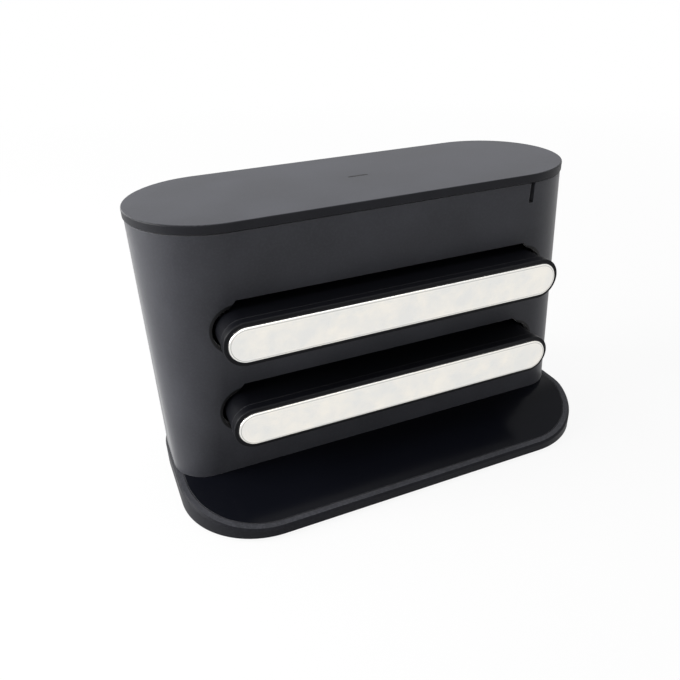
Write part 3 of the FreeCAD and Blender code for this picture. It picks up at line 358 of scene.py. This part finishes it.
def opaque(tone):
    """A colour of three parts with its fourth; a link is passed on."""
    return tone if isinstance(tone, Socket) else (*tone, 1.0)[:4]


def scaled(tone, factor):
    return [factor * part for part in tone]


def new_finish(name):
    return Finish(bpy.data.materials.new(name))


def node_box(name):
    """A CAD node's lowest and highest corner at rest."""
    return [Vector(corner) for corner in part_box(name)]


def coat(material, *names):
    """Gives CAD nodes their finish."""
    for name in names:
        slots = NODES[name].data.materials
        slots.clear()
        slots.append(material)


def satin(name, tone, roughness, grain, shine, speckle, haze=0.0, top=None, shaded_slots=(), slot_shade_width=0.0):
    """Spark-eroded satin moulding: pebble, specks, faint clouds of flow, paler edges that are partly wear and
    partly painted highlight, and level tops painted lighter as painted light from above.

    Each box given for the slots gets painted shade: a black band of that width round its outline from the
    front.
    """
    finish = new_finish(name)
    clouds = finish.noise(18 * MM, 3.0)
    pebble = finish.cells(grain) + finish.noise(0.5 * grain, 1.0) * 0.6
    wear_and_highlight = finish.edge_wear_and_highlight(0.35 * MM)
    specks = finish.ramp(finish.noise(2 * grain, 2.0, 0.6), (0.46, 0.0), (0.62, 1.0))

    def clouded(part_tone):
        flow = finish.mix((clouds - 0.35) * 1.2, part_tone, scaled(part_tone, 1.7))
        return finish.mix(specks * speckle, flow, scaled(part_tone, 2.4))

    flow = clouded(tone)
    # Painted light: level faces take the paler top tone as if lit from above, and steeper faces keep the
    # darker tone as painted shade.
    if top:
        flow = finish.mix(finish.top_light_mask(), flow, clouded(top))
    # Paler edges: partly wear, partly painted highlight where the edges catch the light.
    wear_and_highlight_tone = [3.2 * part + 0.004 for part in tone]
    base = finish.mix(wear_and_highlight * 0.35, flow, wear_and_highlight_tone)
    # Painted shade: black round each bar's slot, where the slot's recess lies in shade.
    slot_shade_tone = (0.001, 0.001, 0.0015)
    slot_shade_blur = 0.3 * MM
    for box in shaded_slots:
        reach = (finish.inside_bar(box) + slot_shade_width) / slot_shade_blur
        in_front = finish.axes()[1] < box[1].y
        base = finish.mix(reach.clamped() * in_front, base, slot_shade_tone)
    sheen = roughness + (clouds - 0.5) * 0.10 - wear_and_highlight * 0.08
    return finish.surface(
        Base_Color=base, Roughness=sheen, Normal=finish.bump(pebble, 0.012 * MM, 0.35, 0.12 * MM),
        Specular_IOR_Level=shine, Sheen_Weight=haze, Sheen_Roughness=0.35)


def polished(name, tone, roughness, shine):
    """Polished black moulding: a faint ripple, fine wiping marks, a little dust and edges painted paler as a
    highlight.
    """
    finish = new_finish(name)
    ripple = finish.noise(9 * MM, 1.0)
    wiping = finish.noise(1.0, 4.0, 0.6, finish.stretched((90.0, 900.0, 900.0)))
    dust = finish.cells(2.4 * MM) < 0.035
    wear_and_highlight = finish.edge_wear_and_highlight(0.4 * MM)
    dust_tone = (0.05, 0.05, 0.055)
    wear_and_highlight_tone = (0.09, 0.09, 0.095)
    base = finish.mix(dust * 0.25, tone, dust_tone)
    # Painted highlight: edges painted paler, as where they catch the light.
    base = finish.mix(wear_and_highlight * 0.7, base, wear_and_highlight_tone)
    haze = roughness + (wiping - 0.45) * 0.10 + dust * 0.2
    return finish.surface(
        Base_Color=base, Roughness=haze, Normal=finish.bump(ripple, 0.02 * MM, 0.25, 0.2 * MM),
        Specular_IOR_Level=shine)


def plated(name, warm, cool, roughness, box, line, line_width):
    """Nickel-plated strip: long brushing, clouds of warmer and cooler plate, fine pits, and a dark line of
    painted shade near the edge.
    """
    finish = new_finish(name)
    brushing = finish.noise(1.0, 3.0, 0.6, finish.stretched((40.0, 2600.0, 2600.0)))
    clouds = finish.noise(7 * MM, 3.0, 0.55)
    pits = finish.cells(0.9 * MM) < 0.06
    # Painted shade: a dark line painted near the strip's edge, in place of the shade on the edge's step.
    from_line = (finish.inside_bar(box) - line).size()
    painted_shade = (1 - from_line / line_width).clamped()
    pit_tone = (0.55, 0.54, 0.53)
    shade_line_tone = (0.30, 0.30, 0.30)
    base = finish.mix(finish.ramp(clouds, (0.35, 0.0), (0.65, 1.0)), warm, cool)
    base = finish.mix(pits * 0.3, base, pit_tone)
    base = finish.mix(painted_shade * 0.8, base, shade_line_tone)
    blur = roughness + (brushing - 0.5) * 0.12 + (clouds - 0.5) * 0.10
    return finish.surface(
        Base_Color=base, Roughness=blur, Metallic=1.0,
        Normal=finish.bump(brushing - pits * 0.5, 0.008 * MM, 0.3, 0.2 * MM))


def metal(name, tone, roughness, tint, drawn=(1.0, 1.0, 1.0)):
    """Plated or drawn metal: lines along the draw and a tint that comes and goes."""
    finish = new_finish(name)
    lines = finish.noise(0.25 * MM, 3.0, 0.6, finish.stretched(drawn))
    clouds = finish.noise(1.6 * MM, 2.0)
    base = finish.mix(finish.ramp(clouds, (0.38, 0.0), (0.68, 1.0)), tone, tint)
    return finish.surface(
        Base_Color=base, Metallic=1.0, Roughness=roughness + (lines - 0.5) * 0.2,
        Normal=finish.bump(lines, 0.01 * MM, 0.3, 0.08 * MM))


def filled_nylon(name, tone):
    """Glass-filled nylon: short pale fibres just under a matt skin."""
    finish = new_finish(name)
    fibres = finish.noise(1.0, 3.0, 0.7, finish.stretched((700.0, 2600.0, 900.0)))
    skin = finish.noise(0.4 * MM, 3.0)
    fibre_tone = (0.045, 0.045, 0.047)
    base = finish.mix(finish.ramp(fibres, (0.55, 0.0), (0.75, 0.35)), tone, fibre_tone)
    return finish.surface(
        Base_Color=base, Roughness=0.5 + (skin - 0.5) * 0.2,
        Normal=finish.bump(skin, 0.02 * MM, 0.35, 0.15 * MM))


def rubbery(name, tone):
    """Soft rubber: pebbled, matt, with pale bloom in the pebbles."""
    finish = new_finish(name)
    pebble = finish.cells(0.45 * MM)
    bloom = finish.noise(3 * MM, 3.0)
    bloom_tone = (0.045, 0.045, 0.044)
    base = finish.mix((bloom - 0.4) * 0.8, tone, bloom_tone)
    return finish.surface(
        Base_Color=base, Roughness=0.78 + (bloom - 0.5) * 0.15, Specular_IOR_Level=0.3,
        Normal=finish.bump(pebble, 0.05 * MM, 0.4))


def smoked(name, tone):
    """Smoked plastic: clouds and a fine grain under a matt skin."""
    finish = new_finish(name)
    grain = finish.noise(0.5 * MM, 2.0)
    clouds = finish.noise(3 * MM, 2.0)
    base = finish.mix(clouds * 0.6 + grain * 0.2, tone, scaled(tone, 2.2))
    return finish.surface(
        Base_Color=base, Roughness=0.4 + (grain - 0.5) * 0.1, Specular_IOR_Level=0.06,
        Normal=finish.bump(grain, 0.01 * MM, 0.3, 0.15 * MM))


def circuit(name, mask, track):
    """Lacquered board: tracks between irregular fields, and a grid of tinned rings."""
    finish = new_finish(name)
    x, _, z = finish.axes()
    grid = 7.62 * MM
    tin_tone = (0.55, 0.55, 0.56)
    tracks = finish.cells(6.5 * MM, None, "DISTANCE_TO_EDGE") < 0.06
    across = (x / grid).fraction() - 0.5
    along = (z / grid).fraction() - 0.5
    reach = across * across + along * along
    rings = (reach < 0.022) * (reach > 0.006)
    weave = finish.noise(0.3 * MM, 2.0)
    base = finish.mix(tracks, finish.mix(weave * 0.3, mask, track), track)
    base = finish.mix(rings, base, tin_tone)
    return finish.surface(
        Base_Color=base, Roughness=0.32 + weave * 0.1, Metallic=rings,
        Normal=finish.bump(tracks + rings, 0.03 * MM, 0.5))


def sintered(name, tone):
    """Pressed and fired core: fine pores and ground faces."""
    finish = new_finish(name)
    pores = finish.cells(0.5 * MM) < 0.2
    grain = finish.noise(0.3 * MM, 4.0)
    pore_tone = (0.008, 0.008, 0.008)
    fired = finish.mix(grain, tone, scaled(tone, 1.8))
    base = finish.mix(pores * 0.6, fired, pore_tone)
    return finish.surface(
        Base_Color=base, Roughness=0.6 + pores * 0.2,
        Normal=finish.bump(grain - pores, 0.03 * MM, 0.5, 0.2 * MM))


def taped(name, tone):
    """Film tape wound in overlapping turns over the copper."""
    finish = new_finish(name)
    tape_width = 2.2 * MM
    lap_tone = (0.35, 0.16, 0.03)
    turns = (finish.axes()[2] / tape_width).fraction()
    laps = turns < 0.08
    creases = finish.noise(1.2 * MM, 3.0)
    base = finish.mix(laps * 0.6 + creases * 0.2, tone, lap_tone)
    return finish.surface(
        Base_Color=base, Roughness=0.3 + creases * 0.15, Coat_Weight=0.3,
        Normal=finish.bump(turns + creases * 0.3, 0.06 * MM, 0.5))


def sleeved(name, tone):
    """Shrunk sleeve with a pale stripe down one side."""
    finish = new_finish(name)
    stripe_foot = 42.2 * MM
    stripe_tone = (0.45, 0.46, 0.48)
    creases = finish.noise(1.0, 2.0, 0.5, finish.stretched((300.0, 60.0, 300.0)))
    stripe = (finish.axes()[2] > stripe_foot) * (0.5 + creases * 0.5)
    shrunk = finish.mix(creases * 0.4, tone, scaled(tone, 2))
    base = finish.mix(stripe, shrunk, stripe_tone)
    return finish.surface(
        Base_Color=base, Roughness=0.25 + creases * 0.2,
        Normal=finish.bump(creases, 0.04 * MM, 0.4, 0.3 * MM))


def resin(name, tone):
    """Cast lens of a lamp: milky clouds under a clear skin."""
    finish = new_finish(name)
    milk = finish.noise(0.8 * MM, 3.0)
    base = finish.mix(milk, tone, scaled(tone, 0.7))
    return finish.surface(
        Base_Color=base, Roughness=0.12 + milk * 0.1, Coat_Weight=0.4,
        Normal=finish.bump(milk, 0.01 * MM, 0.3))


def solid_boxes(name):
    """The lowest and highest corner of each solid of a CAD node."""
    welded = bmesh.new()
    welded.from_mesh(NODES[name].data)
    bmesh.ops.remove_doubles(welded, verts=welded.verts, dist=WELD_DISTANCE)
    unseen = set(welded.verts)
    boxes = []
    while unseen:
        front = [unseen.pop()]
        points = []
        while front:
            vert = front.pop()
            points.append(vert.co.copy())
            near = {edge.other_vert(vert) for edge in vert.link_edges} & unseen
            unseen -= near
            front.extend(near)
        low = Vector(min(point[axis] for point in points) for axis in range(3))
        high = Vector(max(point[axis] for point in points) for axis in range(3))
        boxes.append((low, high))
    welded.free()
    return sorted(boxes, key=lambda box: tuple(box[0]))


def new_piece(name, shape, body, slot, material, *nodes):
    """Turns a bmesh into a piece that rides on a body and stands for CAD nodes."""
    mesh = bpy.data.meshes.new(name)
    bmesh.ops.recalc_face_normals(shape, faces=shape.faces)
    shape.to_mesh(mesh)
    shape.free()
    mesh.materials.append(material)
    piece = bpy.data.objects.new(name, mesh)
    bpy.context.collection.objects.link(piece)
    mesh.shade_smooth()
    mesh.set_sharp_from_angle(angle=SHARP_ANGLE)
    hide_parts(*nodes)
    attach(piece, body)
    return piece


def ring(shape, points):
    return [shape.verts.new(point) for point in points]


def join_rings(shape, first, second):
    count = len(first)
    for index in range(count):
        after = (index + 1) % count
        shape.faces.new((first[index], first[after], second[after], second[index]))


def circle_points(radius, height, sides, centre):
    points = []
    for index in range(sides):
        turn = TURN * index / sides
        across, along = radius * math.cos(turn), radius * math.sin(turn)
        points.append(Vector((centre.x + across, centre.y + along, height)))
    return points


def cross_points(arm, reach, height, centre):
    """The twelve corners of a cross, from the first corner of the arm at +x."""
    half = arm / 2
    quarter = [(reach, half), (half, half), (half, reach)]
    points = []
    for turn in range(4):
        spin = Matrix.Rotation(turn * TURN / 4, 2)
        points.extend(spin @ Vector(corner) for corner in quarter)
    return [Vector((centre.x + point.x, centre.y + point.y, height)) for point in points]


def add_screw(shape, low, high, details):
    """One pan-head screw that points up: domed head with a cross recess below, threaded shank above."""
    sides = details.screw_sides
    centre = (low + high) / 2
    radius = (high.x - low.x) / 2
    shank = details.shank_radius
    dome = details.head_dome
    dome_steps = 5
    rows_per_turn = 4
    flank_slope = 3
    tip_share = 0.35
    tip_turns = 3
    rings = []
    for index in range(dome_steps + 1):
        turn = TURN / 4 * index / dome_steps
        reach = radius - dome * (1 - math.sin(turn))
        rings.append(ring(shape, circle_points(reach, low.z + dome * (1 - math.cos(turn)), sides, centre)))
    thread_foot = low.z + details.head_height
    rings.append(ring(shape, circle_points(radius, thread_foot, sides, centre)))
    rings.append(ring(shape, circle_points(shank, thread_foot, sides, centre)))
    pitch = details.thread_pitch
    rows = int((high.z - thread_foot - pitch) / pitch * rows_per_turn)
    for row in range(1, rows):
        height = thread_foot + row * pitch / rows_per_turn
        points = []
        for index in range(sides):
            turn = TURN * index / sides
            phase = (row / rows_per_turn - index / sides) % 1
            depth = details.thread_depth * min(1.0, flank_slope * abs(phase - 0.5))
            taper = min(1.0, tip_share + (high.z - height) / (tip_turns * pitch))
            reach = (shank - depth) * taper
            points.append((centre.x + reach * math.cos(turn), centre.y + reach * math.sin(turn), height))
        rings.append(ring(shape, points))
    for first, second in zip(rings, rings[1:]):
        join_rings(shape, first, second)
    shape.faces.new(rings[-1])
    mouth = ring(shape, cross_points(details.recess_width, details.recess_reach, low.z, centre))
    bed_width = 0.7 * details.recess_width
    bed_reach = 0.55 * details.recess_reach
    bed = ring(shape, cross_points(bed_width, bed_reach, low.z + details.recess_depth, centre))
    join_rings(shape, mouth, bed)
    shape.faces.new(bed)
    edges = []
    for loop in (rings[0], mouth):
        for index, vert in enumerate(loop):
            after = loop[(index + 1) % len(loop)]
            edges.append(shape.edges.get((vert, after)) or shape.edges.new((vert, after)))
    bmesh.ops.triangle_fill(shape, use_beauty=True, edges=edges)


def stadium_points(box, inset, height, sides=16):
    """A flat ring with round ends inside a box, set in from its sides."""
    low, high = box
    half = (high.y - low.y) / 2
    radius = half - inset
    middle = low.y + half
    left = low.x + half
    right = high.x - half
    points = []
    for centre, start in ((right, -TURN / 4), (left, TURN / 4)):
        for index in range(sides + 1):
            turn = start + TURN / 2 * index / sides
            across, along = radius * math.cos(turn), radius * math.sin(turn)
            points.append(Vector((centre + across, middle + along, height)))
    return points


def add_leaf(shape, low, high, thick, toe_width, steps=48):
    """A bowed leaf spring with its crown to the front, from toe to toe, narrower at its toes."""
    half = (high.x - low.x) / 2
    middle = (low + high) / 2
    rise = high.y - low.y - thick
    inner = (half * half + rise * rise) / (2 * rise)
    centre = low.y + thick + inner
    toe_share = 1 / 6
    rings = []
    for index in range(steps + 1):
        across = half * (2 * index / steps - 1)
        narrowing = max(0.0, 1 - (1 - abs(across) / half) / toe_share)
        width = (high.z - low.z) / 2 * (1 - narrowing) + toe_width / 2 * narrowing
        radii = (inner + thick, inner)
        front, rear = (centre - math.sqrt(radius * radius - across * across) for radius in radii)
        corners = ((front, -width), (front, width), (rear, width), (rear, -width))
        rings.append(ring(shape, [(middle.x + across, depth, middle.z + side) for depth, side in corners]))
    for first, second in zip(rings, rings[1:]):
        join_rings(shape, first, second)
    shape.faces.new(rings[0])
    shape.faces.new(rings[-1])


def pad_profile(low, high, details):
    """The insets and heights of a rubber pad's rings, from its top to the middle of its underside."""
    edge = details.pad_edge
    edge_steps = 5
    groove_count = 2
    groove_form = ((0.25, 0.8), (0.5, 1.0), (0.75, 0.8), (1.0, 0.0))
    profile = [(0.0, high)]
    for index in range(edge_steps + 1):
        turn = TURN / 4 * index / edge_steps
        profile.append((edge * (1 - math.cos(turn)), low + edge * (1 - math.sin(turn))))
    inset = edge
    for _ in range(groove_count):
        inset += details.pad_rim / 2
        profile.append((inset, low))
        for across, depth in groove_form:
            profile.append((inset + across * details.pad_groove, low + depth * details.pad_groove_depth))
        inset += details.pad_groove
    return profile


class DOCK_OT_housing(bpy.types.Operator):
    """Finish the tower's shell and the base tray in satin charcoal"""
    bl_idname = "dock.housing"
    bl_label = "Housing"
    bl_options = {"REGISTER", "UNDO"}

    def execute(self, context):
        finishes = context.scene.dock_finishes
        roughness, grain = finishes.shell_roughness, finishes.shell_grain
        # The shell carries painted shade round the bars' slots.
        shell = satin(
            "satin_shell", finishes.shell_colour, roughness, grain, finishes.shell_shine,
            finishes.shell_speckle, finishes.shell_haze,
            shaded_slots=[node_box(f"{bar}_carrier") for bar in BARS], slot_shade_width=context.scene.dock_details.slot_shade_width)
        coat(shell, "tower_shell")
        # Tray: darker sides as painted shade, paler level rim as painted light.
        tray = satin(
            "satin_tray", finishes.tray_shaded_side_colour, roughness, grain, finishes.tray_shine,
            finishes.tray_speckle, top=finishes.tray_lit_top_colour)
        coat(tray, "base_tray")
        return {"FINISHED"}


class DOCK_OT_lid(bpy.types.Operator):
    """Finish the lid and the light guide in it"""
    bl_idname = "dock.lid"
    bl_label = "Lid"
    bl_options = {"REGISTER", "UNDO"}

    def execute(self, context):
        finishes = context.scene.dock_finishes
        # The lid's side tone is painted shade and its top tone painted light from above.
        lid = satin(
            "satin_lid", finishes.lid_shaded_side_colour, finishes.lid_roughness, finishes.shell_grain,
            finishes.lid_shine, finishes.lid_speckle, top=finishes.lid_lit_top_colour)
        coat(lid, "top_lid")
        coat(smoked("light_guide", finishes.guide_colour), "light_guide")
        return {"FINISHED"}


class DOCK_OT_deck(bpy.types.Operator):
    """Finish the deck in polished black and the two bars in plainer black"""
    bl_idname = "dock.deck"
    bl_label = "Deck and bars"
    bl_options = {"REGISTER", "UNDO"}

    def execute(self, context):
        finishes = context.scene.dock_finishes
        deck = polished("gloss_black", finishes.gloss_colour, finishes.gloss_roughness, finishes.gloss_shine)
        coat(deck, "base_deck")
        bars = polished("bar_black", finishes.bar_colour, finishes.bar_roughness, finishes.bar_shine)
        coat(bars, "upper_carrier", "lower_carrier")
        return {"FINISHED"}


class DOCK_OT_strips(bpy.types.Operator):
    """Finish the two contact strips in bright nickel with a dark line of painted shade near the edge"""
    bl_idname = "dock.strips"
    bl_label = "Contact strips"
    bl_options = {"REGISTER", "UNDO"}

    def execute(self, context):
        finishes = context.scene.dock_finishes
        details = context.scene.dock_details
        for bar in BARS:
            node = f"{bar}_strip"
            material = plated(
                f"{node}_metal", finishes.plate_warm, finishes.plate_cool, finishes.plate_roughness,
                node_box(node), details.shade_line_inset, details.shade_line_half_width)
            coat(material, node)
        return {"FINISHED"}


class DOCK_OT_pads(bpy.types.Operator):
    """Build the four grooved rubber pads under the base"""
    bl_idname = "dock.pads"
    bl_label = "Rubber pads"
    bl_options = {"REGISTER", "UNDO"}

    def execute(self, context):
        details = context.scene.dock_details
        material = rubbery("rubber", context.scene.dock_finishes.rubber_colour)
        for place in ("front_left", "front_right", "rear_left", "rear_right"):
            node = f"foot_{place}"
            box = node_box(node)
            shape = bmesh.new()
            profile = pad_profile(box[0].z, box[1].z, details)
            rings = [ring(shape, stadium_points(box, inset, height)) for inset, height in profile]
            for first, second in zip(rings, rings[1:]):
                join_rings(shape, first, second)
            shape.faces.new(rings[0])
            shape.faces.new(rings[-1])
            new_piece(f"pad_{place}", shape, "dock", "rubber", material, node)
        return {"FINISHED"}


class DOCK_OT_screws(bpy.types.Operator):
    """Build the screws under the base and finish the ones inside"""
    bl_idname = "dock.screws"
    bl_label = "Screws"
    bl_options = {"REGISTER", "UNDO"}

    def execute(self, context):
        details = context.scene.dock_details
        finishes = context.scene.dock_finishes
        material = metal("steel", finishes.zinc_colour, finishes.zinc_roughness, finishes.zinc_tint)
        for kind in ("tower", "frame"):
            node = f"{kind}_screws"
            shape = bmesh.new()
            for low, high in solid_boxes(node):
                add_screw(shape, low, high, details)
            new_piece(f"{kind}_screw_set", shape, "dock", "steel", material, node)
        coat(material, "board_screws", "upper_retainers", "lower_retainers")
        return {"FINISHED"}


class DOCK_OT_springs(bpy.types.Operator):
    """Build the two leaf springs"""
    bl_idname = "dock.springs"
    bl_label = "Springs"
    bl_options = {"REGISTER", "UNDO"}

    def execute(self, context):
        details = context.scene.dock_details
        finishes = context.scene.dock_finishes
        material = metal(
            "spring_steel", finishes.spring_colour, finishes.spring_roughness, finishes.spring_tint,
            drawn=(1.0, 4.0, 1.0))
        for bar in BARS:
            node = f"{bar}_spring"
            low, high = node_box(node)
            shape = bmesh.new()
            add_leaf(shape, low, high, details.leaf_thick, details.leaf_toe)
            piece = new_piece(f"{bar}_leaf", shape, "dock", "spring_steel", material, node)
            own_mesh(piece)
        return {"FINISHED"}


class DOCK_OT_inlet(bpy.types.Operator):
    """Finish the mains inlet, its pins and the inner mouldings"""
    bl_idname = "dock.inlet"
    bl_label = "Mains inlet"
    bl_options = {"REGISTER", "UNDO"}

    def execute(self, context):
        finishes = context.scene.dock_finishes
        coat(filled_nylon("inner_plastic", finishes.nylon_colour), "power_inlet", "contact_frame", "ir_hood")
        pins = metal(
            "pin_metal", finishes.pin_colour, finishes.pin_roughness, finishes.pin_tint,
            drawn=(6.0, 0.4, 6.0))
        coat(pins, "inlet_pins")
        return {"FINISHED"}


class DOCK_OT_works(bpy.types.Operator):
    """Finish the boards and the parts on them"""
    bl_idname = "dock.works"
    bl_label = "Electronics"
    bl_options = {"REGISTER", "UNDO"}

    def execute(self, context):
        finishes = context.scene.dock_finishes
        board = circuit("circuit_board", finishes.mask_colour, finishes.trace_colour)
        coat(board, "power_board", "ir_board")
        coat(sintered("ferrite", finishes.ferrite_colour), "transformer_core")
        coat(taped("copper_tape", finishes.tape_colour), "transformer_winding")
        coat(sleeved("capacitor", finishes.sleeve_colour), "bulk_capacitor", "output_capacitor")
        coat(resin("led", finishes.lens_colour), "status_led", "ir_emitter")
        return {"FINISHED"}


class DOCK_OT_stage(bpy.types.Operator):
    """Set the floor, the light and the camera"""
    bl_idname = "dock.stage"
    bl_label = "Stage"
    bl_options = {"REGISTER", "UNDO"}
    aim_height = 0.05
    fade_start = 0.15
    fade_run = 0.6
    clip_start = 0.005

    def execute(self, context):
        stage = context.scene.dock_stage
        self.lay_floor(stage)
        self.light_world(stage)
        for side, place, width in LAMPS:
            self.hang_light(f"{side}_light", place, width, getattr(stage, f"{side}_power"))
        self.set_camera(stage)
        context.scene.view_settings.view_transform = "Standard"
        return {"FINISHED"}

    @staticmethod
    def seen(finish):
        """1 for rays from the camera, from a reflection or through glass, otherwise 0."""
        kinds = ("Is Camera Ray", "Is Glossy Ray", "Is Transmission Ray")
        camera, glossy, clear = (finish.node("ShaderNodeLightPath", output=kind) for kind in kinds)
        return camera.largest(glossy).largest(clear)

    def lay_floor(self, stage):
        half = stage.floor_size / 2
        shape = bmesh.new()
        shape.faces.new(ring(shape, [(-half, -half, 0), (half, -half, 0), (half, half, 0), (-half, half, 0)]))
        mesh = bpy.data.meshes.new("floor")
        shape.to_mesh(mesh)
        shape.free()
        finish = new_finish("floor")
        matt = finish.node("ShaderNodeBsdfDiffuse", None, {"Color": opaque(stage.floor_colour)})
        glow = finish.node("ShaderNodeEmission", None, {"Color": WHITE, "Strength": 1.0})
        far = finish.node("ShaderNodeVectorMath", {"operation": "LENGTH"}, {0: finish.place()}, "Value")
        fade = ((far - self.fade_start) / self.fade_run).clamped()
        white = self.seen(finish) * (stage.floor_glow + fade * (1 - stage.floor_glow))
        both = finish.node("ShaderNodeMixShader", None, {0: white, 1: matt, 2: glow})
        finish.node("ShaderNodeOutputMaterial", None, {"Surface": both})
        mesh.materials.append(finish.owner)
        floor = bpy.data.objects.new("floor", mesh)
        bpy.context.collection.objects.link(floor)

    def light_world(self, stage):
        world = bpy.data.worlds.new("studio")
        bpy.context.scene.world = world
        finish = Finish(world)
        level = stage.ambient + self.seen(finish) * (1 - stage.ambient)
        sky = finish.node("ShaderNodeBackground", None, {"Color": WHITE, "Strength": level})
        finish.node("ShaderNodeOutputWorld", None, {"Surface": sky})

    def hang_light(self, name, place, width, watts):
        """Hangs a round lamp that faces the dock."""
        lamp = bpy.data.lights.new(name, "AREA")
        lamp.shape = "DISK"
        lamp.size = width
        lamp.energy = watts
        light = bpy.data.objects.new(name, lamp)
        aim = Vector((0, 0, self.aim_height)) - Vector(place)
        light.matrix_world = Matrix.Translation(place) @ aim.to_track_quat("-Z", "Y").to_matrix().to_4x4()
        bpy.context.collection.objects.link(light)

    def set_camera(self, stage):
        """Puts the camera on the line from the target that the two angles give, and tilts it by the roll."""
        flat = math.cos(stage.elevation)
        across, along = -math.sin(stage.azimuth) * flat, -math.cos(stage.azimuth) * flat
        back = Vector((across, along, math.sin(stage.elevation)))
        right = Vector((0, 0, 1)).cross(back).normalized()
        up = back.cross(right)
        turn = Matrix.Rotation(stage.roll, 3, back)
        axes = Matrix((turn @ right, turn @ up, back)).transposed().to_4x4()
        lens = bpy.data.cameras.new("camera")
        lens.sensor_width = SENSOR_WIDTH
        lens.lens = stage.focal * SENSOR_WIDTH
        lens.clip_start = self.clip_start
        camera = bpy.data.objects.new("camera", lens)
        camera.matrix_world = Matrix.Translation(Vector(stage.target) + back * stage.distance) @ axes
        bpy.context.collection.objects.link(camera)
        bpy.context.scene.camera = camera


OPERATORS = (
    DOCK_OT_housing, DOCK_OT_lid, DOCK_OT_deck, DOCK_OT_strips, DOCK_OT_pads,
    DOCK_OT_screws, DOCK_OT_springs, DOCK_OT_inlet, DOCK_OT_works, DOCK_OT_stage,
)
GROUPS = {"dock_finishes": DockFinishes, "dock_details": DockDetails, "dock_stage": DockStage}


class DOCK_PT_dresser(bpy.types.Panel):
    """Lists the dock's pieces and what can be changed on them"""
    bl_idname = "DOCK_PT_dresser"
    bl_label = "Charging dock"
    bl_space_type = "VIEW_3D"
    bl_region_type = "UI"
    bl_category = "Dock"

    def draw(self, context):
        for operator in OPERATORS:
            self.layout.operator(operator.bl_idname)
        for name, group in GROUPS.items():
            box = self.layout.box()
            for setting in group.__annotations__:
                box.prop(getattr(context.scene, name), setting)


CLASSES = (*GROUPS.values(), *OPERATORS, DOCK_PT_dresser)


def register():
    for cls in CLASSES:
        bpy.utils.register_class(cls)
    for name, group in GROUPS.items():
        setattr(bpy.types.Scene, name, PointerProperty(type=group))


def unregister():
    for name in GROUPS:
        delattr(bpy.types.Scene, name)
    for cls in reversed(CLASSES):
        bpy.utils.unregister_class(cls)


def main():
    register()
    bpy.ops.dock.housing()
    bpy.ops.dock.lid()
    bpy.ops.dock.deck()
    bpy.ops.dock.strips()
    bpy.ops.dock.pads()
    bpy.ops.dock.screws()
    bpy.ops.dock.springs()
    bpy.ops.dock.inlet()
    bpy.ops.dock.works()
    bpy.ops.dock.stage()


if __name__ == "__main__":
    main()
